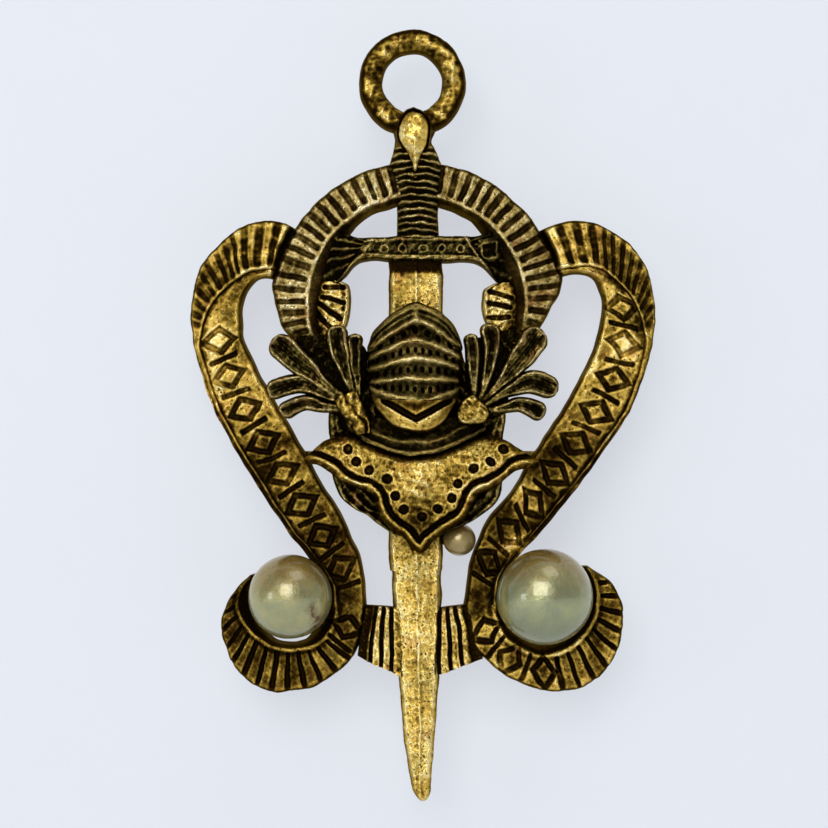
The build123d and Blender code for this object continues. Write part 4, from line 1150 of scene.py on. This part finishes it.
def plume_left():
    """Leaves bound into a stem."""
    spray("plume_left", LEFT_LEAVES, 51, (LEFT_WEB, LEFT_BETWEEN), 57)

    def fibres(along, t, u, v, width):
        x = 2 * t - 1
        folds = np.abs(np.sin(t * 5.5 + 0.9 * ripple(u, v, 2.4, 56)))
        return 3.3 + 0.45 * np.sqrt(np.clip(1 - x * x, 0, 1)) + 0.25 * folds + 0.08 * ripple(u, v, 0.9, 58)

    bound = Casting()
    strip(bound, LEFT_STEM, fibres, base=PLATE_FOOT, spacing=FINER, draft=(0.05, 0.05), tone=-0.14)
    bound.make("plume_left_stem", gold, "plume_left")


def plume_right():
    """Leaves behind a faceted knob."""
    spray("plume_right", RIGHT_LEAVES, 61, (RIGHT_WEB, RIGHT_BETWEEN), 66)

    def facets(share, u, v):
        sides = np.minimum(0.6 * (u - 3.1), 0.6 * (6.2 - u))
        ends = np.minimum(0.7 * (v + 29.2), 0.45 * (-25.6 - v))
        planes = np.minimum(sides, ends)
        height = 3.6 + 1.0 * np.tanh(planes / 0.9) - 0.35 * step(0.85, 1.0, share)
        height = height + 0.05 * ripple(u, v, 0.6, 68)
        return height, 0.14 * ripple(u, v, 0.9, 67) - 0.02

    knob = Casting()
    mound(knob, RIGHT_KNOB, (4.6, -27.5), facets, base=PLATE_FOOT)
    knob.make("plume_right_knob", gold, "plume_right")


# ---- Pearls ----
def pearl(name, material, slot, seed, lean):
    """A moulded faux pearl: not quite round, pitted, and glued a little out of true by `lean`."""
    low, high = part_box(name)
    centre = np.array((low + high) / 2) + np.array(lean) * MM
    radius = (high.x - low.x) / 2
    rng = np.random.default_rng(seed)
    work = bmesh.new()
    bmesh.ops.create_icosphere(work, subdivisions=6, radius=1.0)
    mesh = bpy.data.meshes.new(name)
    work.to_mesh(mesh)
    work.free()
    away = np.array([vertex.co for vertex in mesh.vertices])
    scale = 1 + 0.006 * ripple(away[:, 0] + away[:, 1], away[:, 2] - away[:, 1], 1.9, seed)
    for _ in range(PEARL_PITS):
        where = rng.normal(size=3)
        where /= np.linalg.norm(where)
        size = rng.uniform(0.012, 0.03)
        scale -= rng.uniform(0.002, 0.006) * np.exp(-((np.linalg.norm(away - where, axis=1) / size) ** 2))
    points = centre + away * (scale * radius * 0.995)[:, None]
    mesh.vertices.foreach_set("co", points.ravel())
    finished(name + "_bead", mesh, material, name)


hanging_ring()
grip()
pommel()
crossguard()
blade()
ribbon_arch()

left_ribs = [2.45, 3.7, 4.9, 5.8, 6.5, 7.3, 8.3, 9.2, 10.2, 11.0, 11.9, 12.7]
right_ribs = [2.7, 3.9, 5.1, 6.1, 6.9, 7.8, 8.8, 9.7, 10.8, 11.7, 12.7, 13.5]
scroll("ribbon_scroll_left", LEFT_FOLD, LEFT_FACE, left_ribs, 13.0, (8.0, 33.2), 0.3)
scroll("ribbon_scroll_right", RIGHT_FOLD, RIGHT_FACE, right_ribs, 13.8, (6.5, 35.9), 0.3)

left_foot = [0.7, 0.9, 1.0, 0.8, 0.45, 0.3, 0.3, 0.4, 0.7, 0.9, 1.0, 1.0, 0.8, 0.4]
curl("ribbon_curl_left", LEFT_CURL, np.arange(3.8, 17.5, 1.12), (0.2, 3.4), 71, left_foot, -0.32)
curl("ribbon_curl_right", RIGHT_CURL, np.arange(9.6, 21, 1.2), (0.6, 9.6), 72, 0.7, -0.18)
link_band("link_band_left", LEFT_LINK, [0.3, 0.54, 0.78], 0.0)
link_band("link_band_right", RIGHT_LINK, [0.06, 0.32, 0.58], 1.0)
tail("ribbon_tail_left", LEFT_TAIL, LEFT_TAIL_CUTS)
tail("ribbon_tail_right", RIGHT_TAIL, RIGHT_TAIL_CUTS)
backing_shield()
helmet()
neck_roll()
gorget()
plume_left()
plume_right()



def crown(name):
    """The height of a pearl's top, in millimetres."""
    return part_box(name)[1].z / MM


crack_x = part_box("pearl_left")[1].x / MM - 1.3
grey_pearl = nacre(
    "pearl_coating_left", rgb(142, 148, 118), rgb(168, 165, 122), rgb(138, 110, 34),
    crown("pearl_left") - 2.2, 2.0, crack_x,
)
blue_pearl = nacre(
    "pearl_coating_right", rgb(134, 143, 118), rgb(158, 162, 126), rgb(134, 108, 36),
    crown("pearl_right") - 2.0, 2.2,
)
cream_pearl = nacre(
    "pearl_coating_small", rgb(142, 122, 74), rgb(162, 144, 98), rgb(120, 94, 48),
    crown("pearl_small") - 0.6, 0.8,
)
pearl("pearl_left", grey_pearl, "pearl", 81, (0.12, 0.0, 0.08))
pearl("pearl_right", blue_pearl, "pearl", 82, (-0.2, 0.0, 0.12))
pearl("pearl_small", cream_pearl, "small_pearl", 83, (0.0, 0.0, 0.0))

# ---- The fitting behind keeps its CAD shapes ----
STEEL_PARTS = ("hinge_rivet", "pin_wire")
BRASS_PARTS = (
    "pearl_post_left", "pearl_post_right", "pearl_post_small", "helmet_peg", "gorget_peg", "pin_bar",
    "hinge_ears", "catch_housing", "catch_lock",
)
for name in BRASS_PARTS + STEEL_PARTS:
    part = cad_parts[name]
    part.data.materials.clear()
    part.data.materials.append(wire_metal if name in STEEL_PARTS else plain_brass)

# ---- Stage ----
VIEW_X = 0.14
VIEW_Z = -27.86
VIEW_WIDTH = 69.58
LENS = 100.0
SENSOR = 36.0
DISTANCE = VIEW_WIDTH * LENS / SENSOR

camera_data = bpy.data.cameras.new("camera")
camera_data.lens = LENS
camera_data.sensor_width = SENSOR
camera_data.clip_start = 0.005
camera = bpy.data.objects.new("camera", camera_data)
camera.location = (VIEW_X * MM, -DISTANCE * MM, VIEW_Z * MM)
camera.rotation_euler = (math.pi / 2, 0, 0)
bpy.context.collection.objects.link(camera)
bpy.context.scene.camera = camera


def pale(name, colour, one_sided):
    """Matt pale paper."""
    paper = Surface(name)
    grain = paper.between(paper.noise(3.0, 4), 0.3, 0.7, 0.985, 1.0)
    tint = paper.nodes.new("ShaderNodeVectorMath")
    tint.operation = "SCALE"
    tint.inputs[0].default_value = colour[:3]
    paper.links.new(grain, tint.inputs["Scale"])
    paper.set(Base_Color=tint.outputs[0], Roughness=0.8)
    paper.set(Emission_Color=rgb(228, 232, 240), Emission_Strength=0.68)
    if one_sided:
        clear = paper.nodes.new("ShaderNodeBsdfTransparent")
        side = paper.nodes.new("ShaderNodeNewGeometry")
        choice = paper.nodes.new("ShaderNodeMixShader")
        paper.links.new(side.outputs["Backfacing"], choice.inputs[0])
        paper.links.new(paper.shader.outputs[0], choice.inputs[1])
        paper.links.new(clear.outputs[0], choice.inputs[2])
        paper.links.new(choice.outputs[0], paper.nodes["Material Output"].inputs["Surface"])
    return paper.material


def sheet(name, corners, material):
    """A flat part of the stage."""
    mesh = bpy.data.meshes.new(name)
    mesh.from_pydata([[c * MM for c in corner] for corner in corners], [], [[0, 1, 2, 3]])
    mesh.materials.append(material)
    board = bpy.data.objects.new(name, mesh)
    bpy.context.collection.objects.link(board)
    return board


PAPER = rgb(130, 133, 137)
WALL_Y = 7.0
FLOOR_Z = -65.0
WALL = 900.0
backdrop = sheet(
    "backdrop",
    [(-WALL, WALL_Y, FLOOR_Z), (WALL, WALL_Y, FLOOR_Z), (WALL, WALL_Y, WALL), (-WALL, WALL_Y, WALL)],
    pale("backdrop_paper", PAPER, True),
)
backdrop.visible_shadow = False
sheet(
    "floor",
    [(-WALL, -WALL, FLOOR_Z), (WALL, -WALL, FLOOR_Z), (WALL, WALL, FLOOR_Z), (-WALL, WALL, FLOOR_Z)],
    pale("floor_paper", PAPER, False),
)


def lamp(name, at, size, watts, colour):
    """A square soft light aimed at the middle of the badge."""
    light = bpy.data.lights.new(name, "AREA")
    light.size = size * MM
    light.energy = watts
    light.color = colour
    soft = bpy.data.objects.new(name, light)
    soft.location = [c * MM for c in at]
    aim = np.array([0, 0, VIEW_Z]) - np.array(at)
    flat = math.hypot(aim[0], aim[1])
    tilt, heading = math.atan2(aim[2], flat), math.atan2(aim[1], aim[0])
    soft.rotation_euler = (math.pi / 2 + tilt, 0, heading - math.pi / 2)
    bpy.context.collection.objects.link(soft)


lamp("window", (-70, -400, 130), 260, 1.15, (1.0, 0.98, 0.95))
lamp("ceiling", (90, -150, 330), 200, 0.25, (0.95, 0.97, 1.0))
lamp("side_window", (-316, -248, -12), 90, 0.12, (0.92, 0.96, 1.0))
lamp("behind", (60, 300, 150), 260, 0.5, (1.0, 1.0, 1.0))
world = bpy.data.worlds.new("room")
world.use_nodes = True
nodes, links = world.node_tree.nodes, world.node_tree.links
sky = nodes["Background"]
directions = nodes.new("ShaderNodeTexCoord")
upward = nodes.new("ShaderNodeSeparateXYZ")
gradient = nodes.new("ShaderNodeValToRGB")
half_up = nodes.new("ShaderNodeMapRange")
half_up.inputs["From Min"].default_value = -1
links.new(directions.outputs["Generated"], upward.inputs[0])
links.new(upward.outputs["Z"], half_up.inputs["Value"])
links.new(half_up.outputs[0], gradient.inputs[0])
links.new(gradient.outputs[0], sky.inputs["Color"])
dark, light = gradient.color_ramp.elements
dark.position = 0.35
dark.color = (0.16, 0.17, 0.19, 1)
light.position = 0.75
light.color = (0.72, 0.75, 0.8, 1)
sky.inputs["Strength"].default_value = 0.5
bpy.context.scene.world = world
bpy.context.scene.view_settings.view_transform = "Standard"
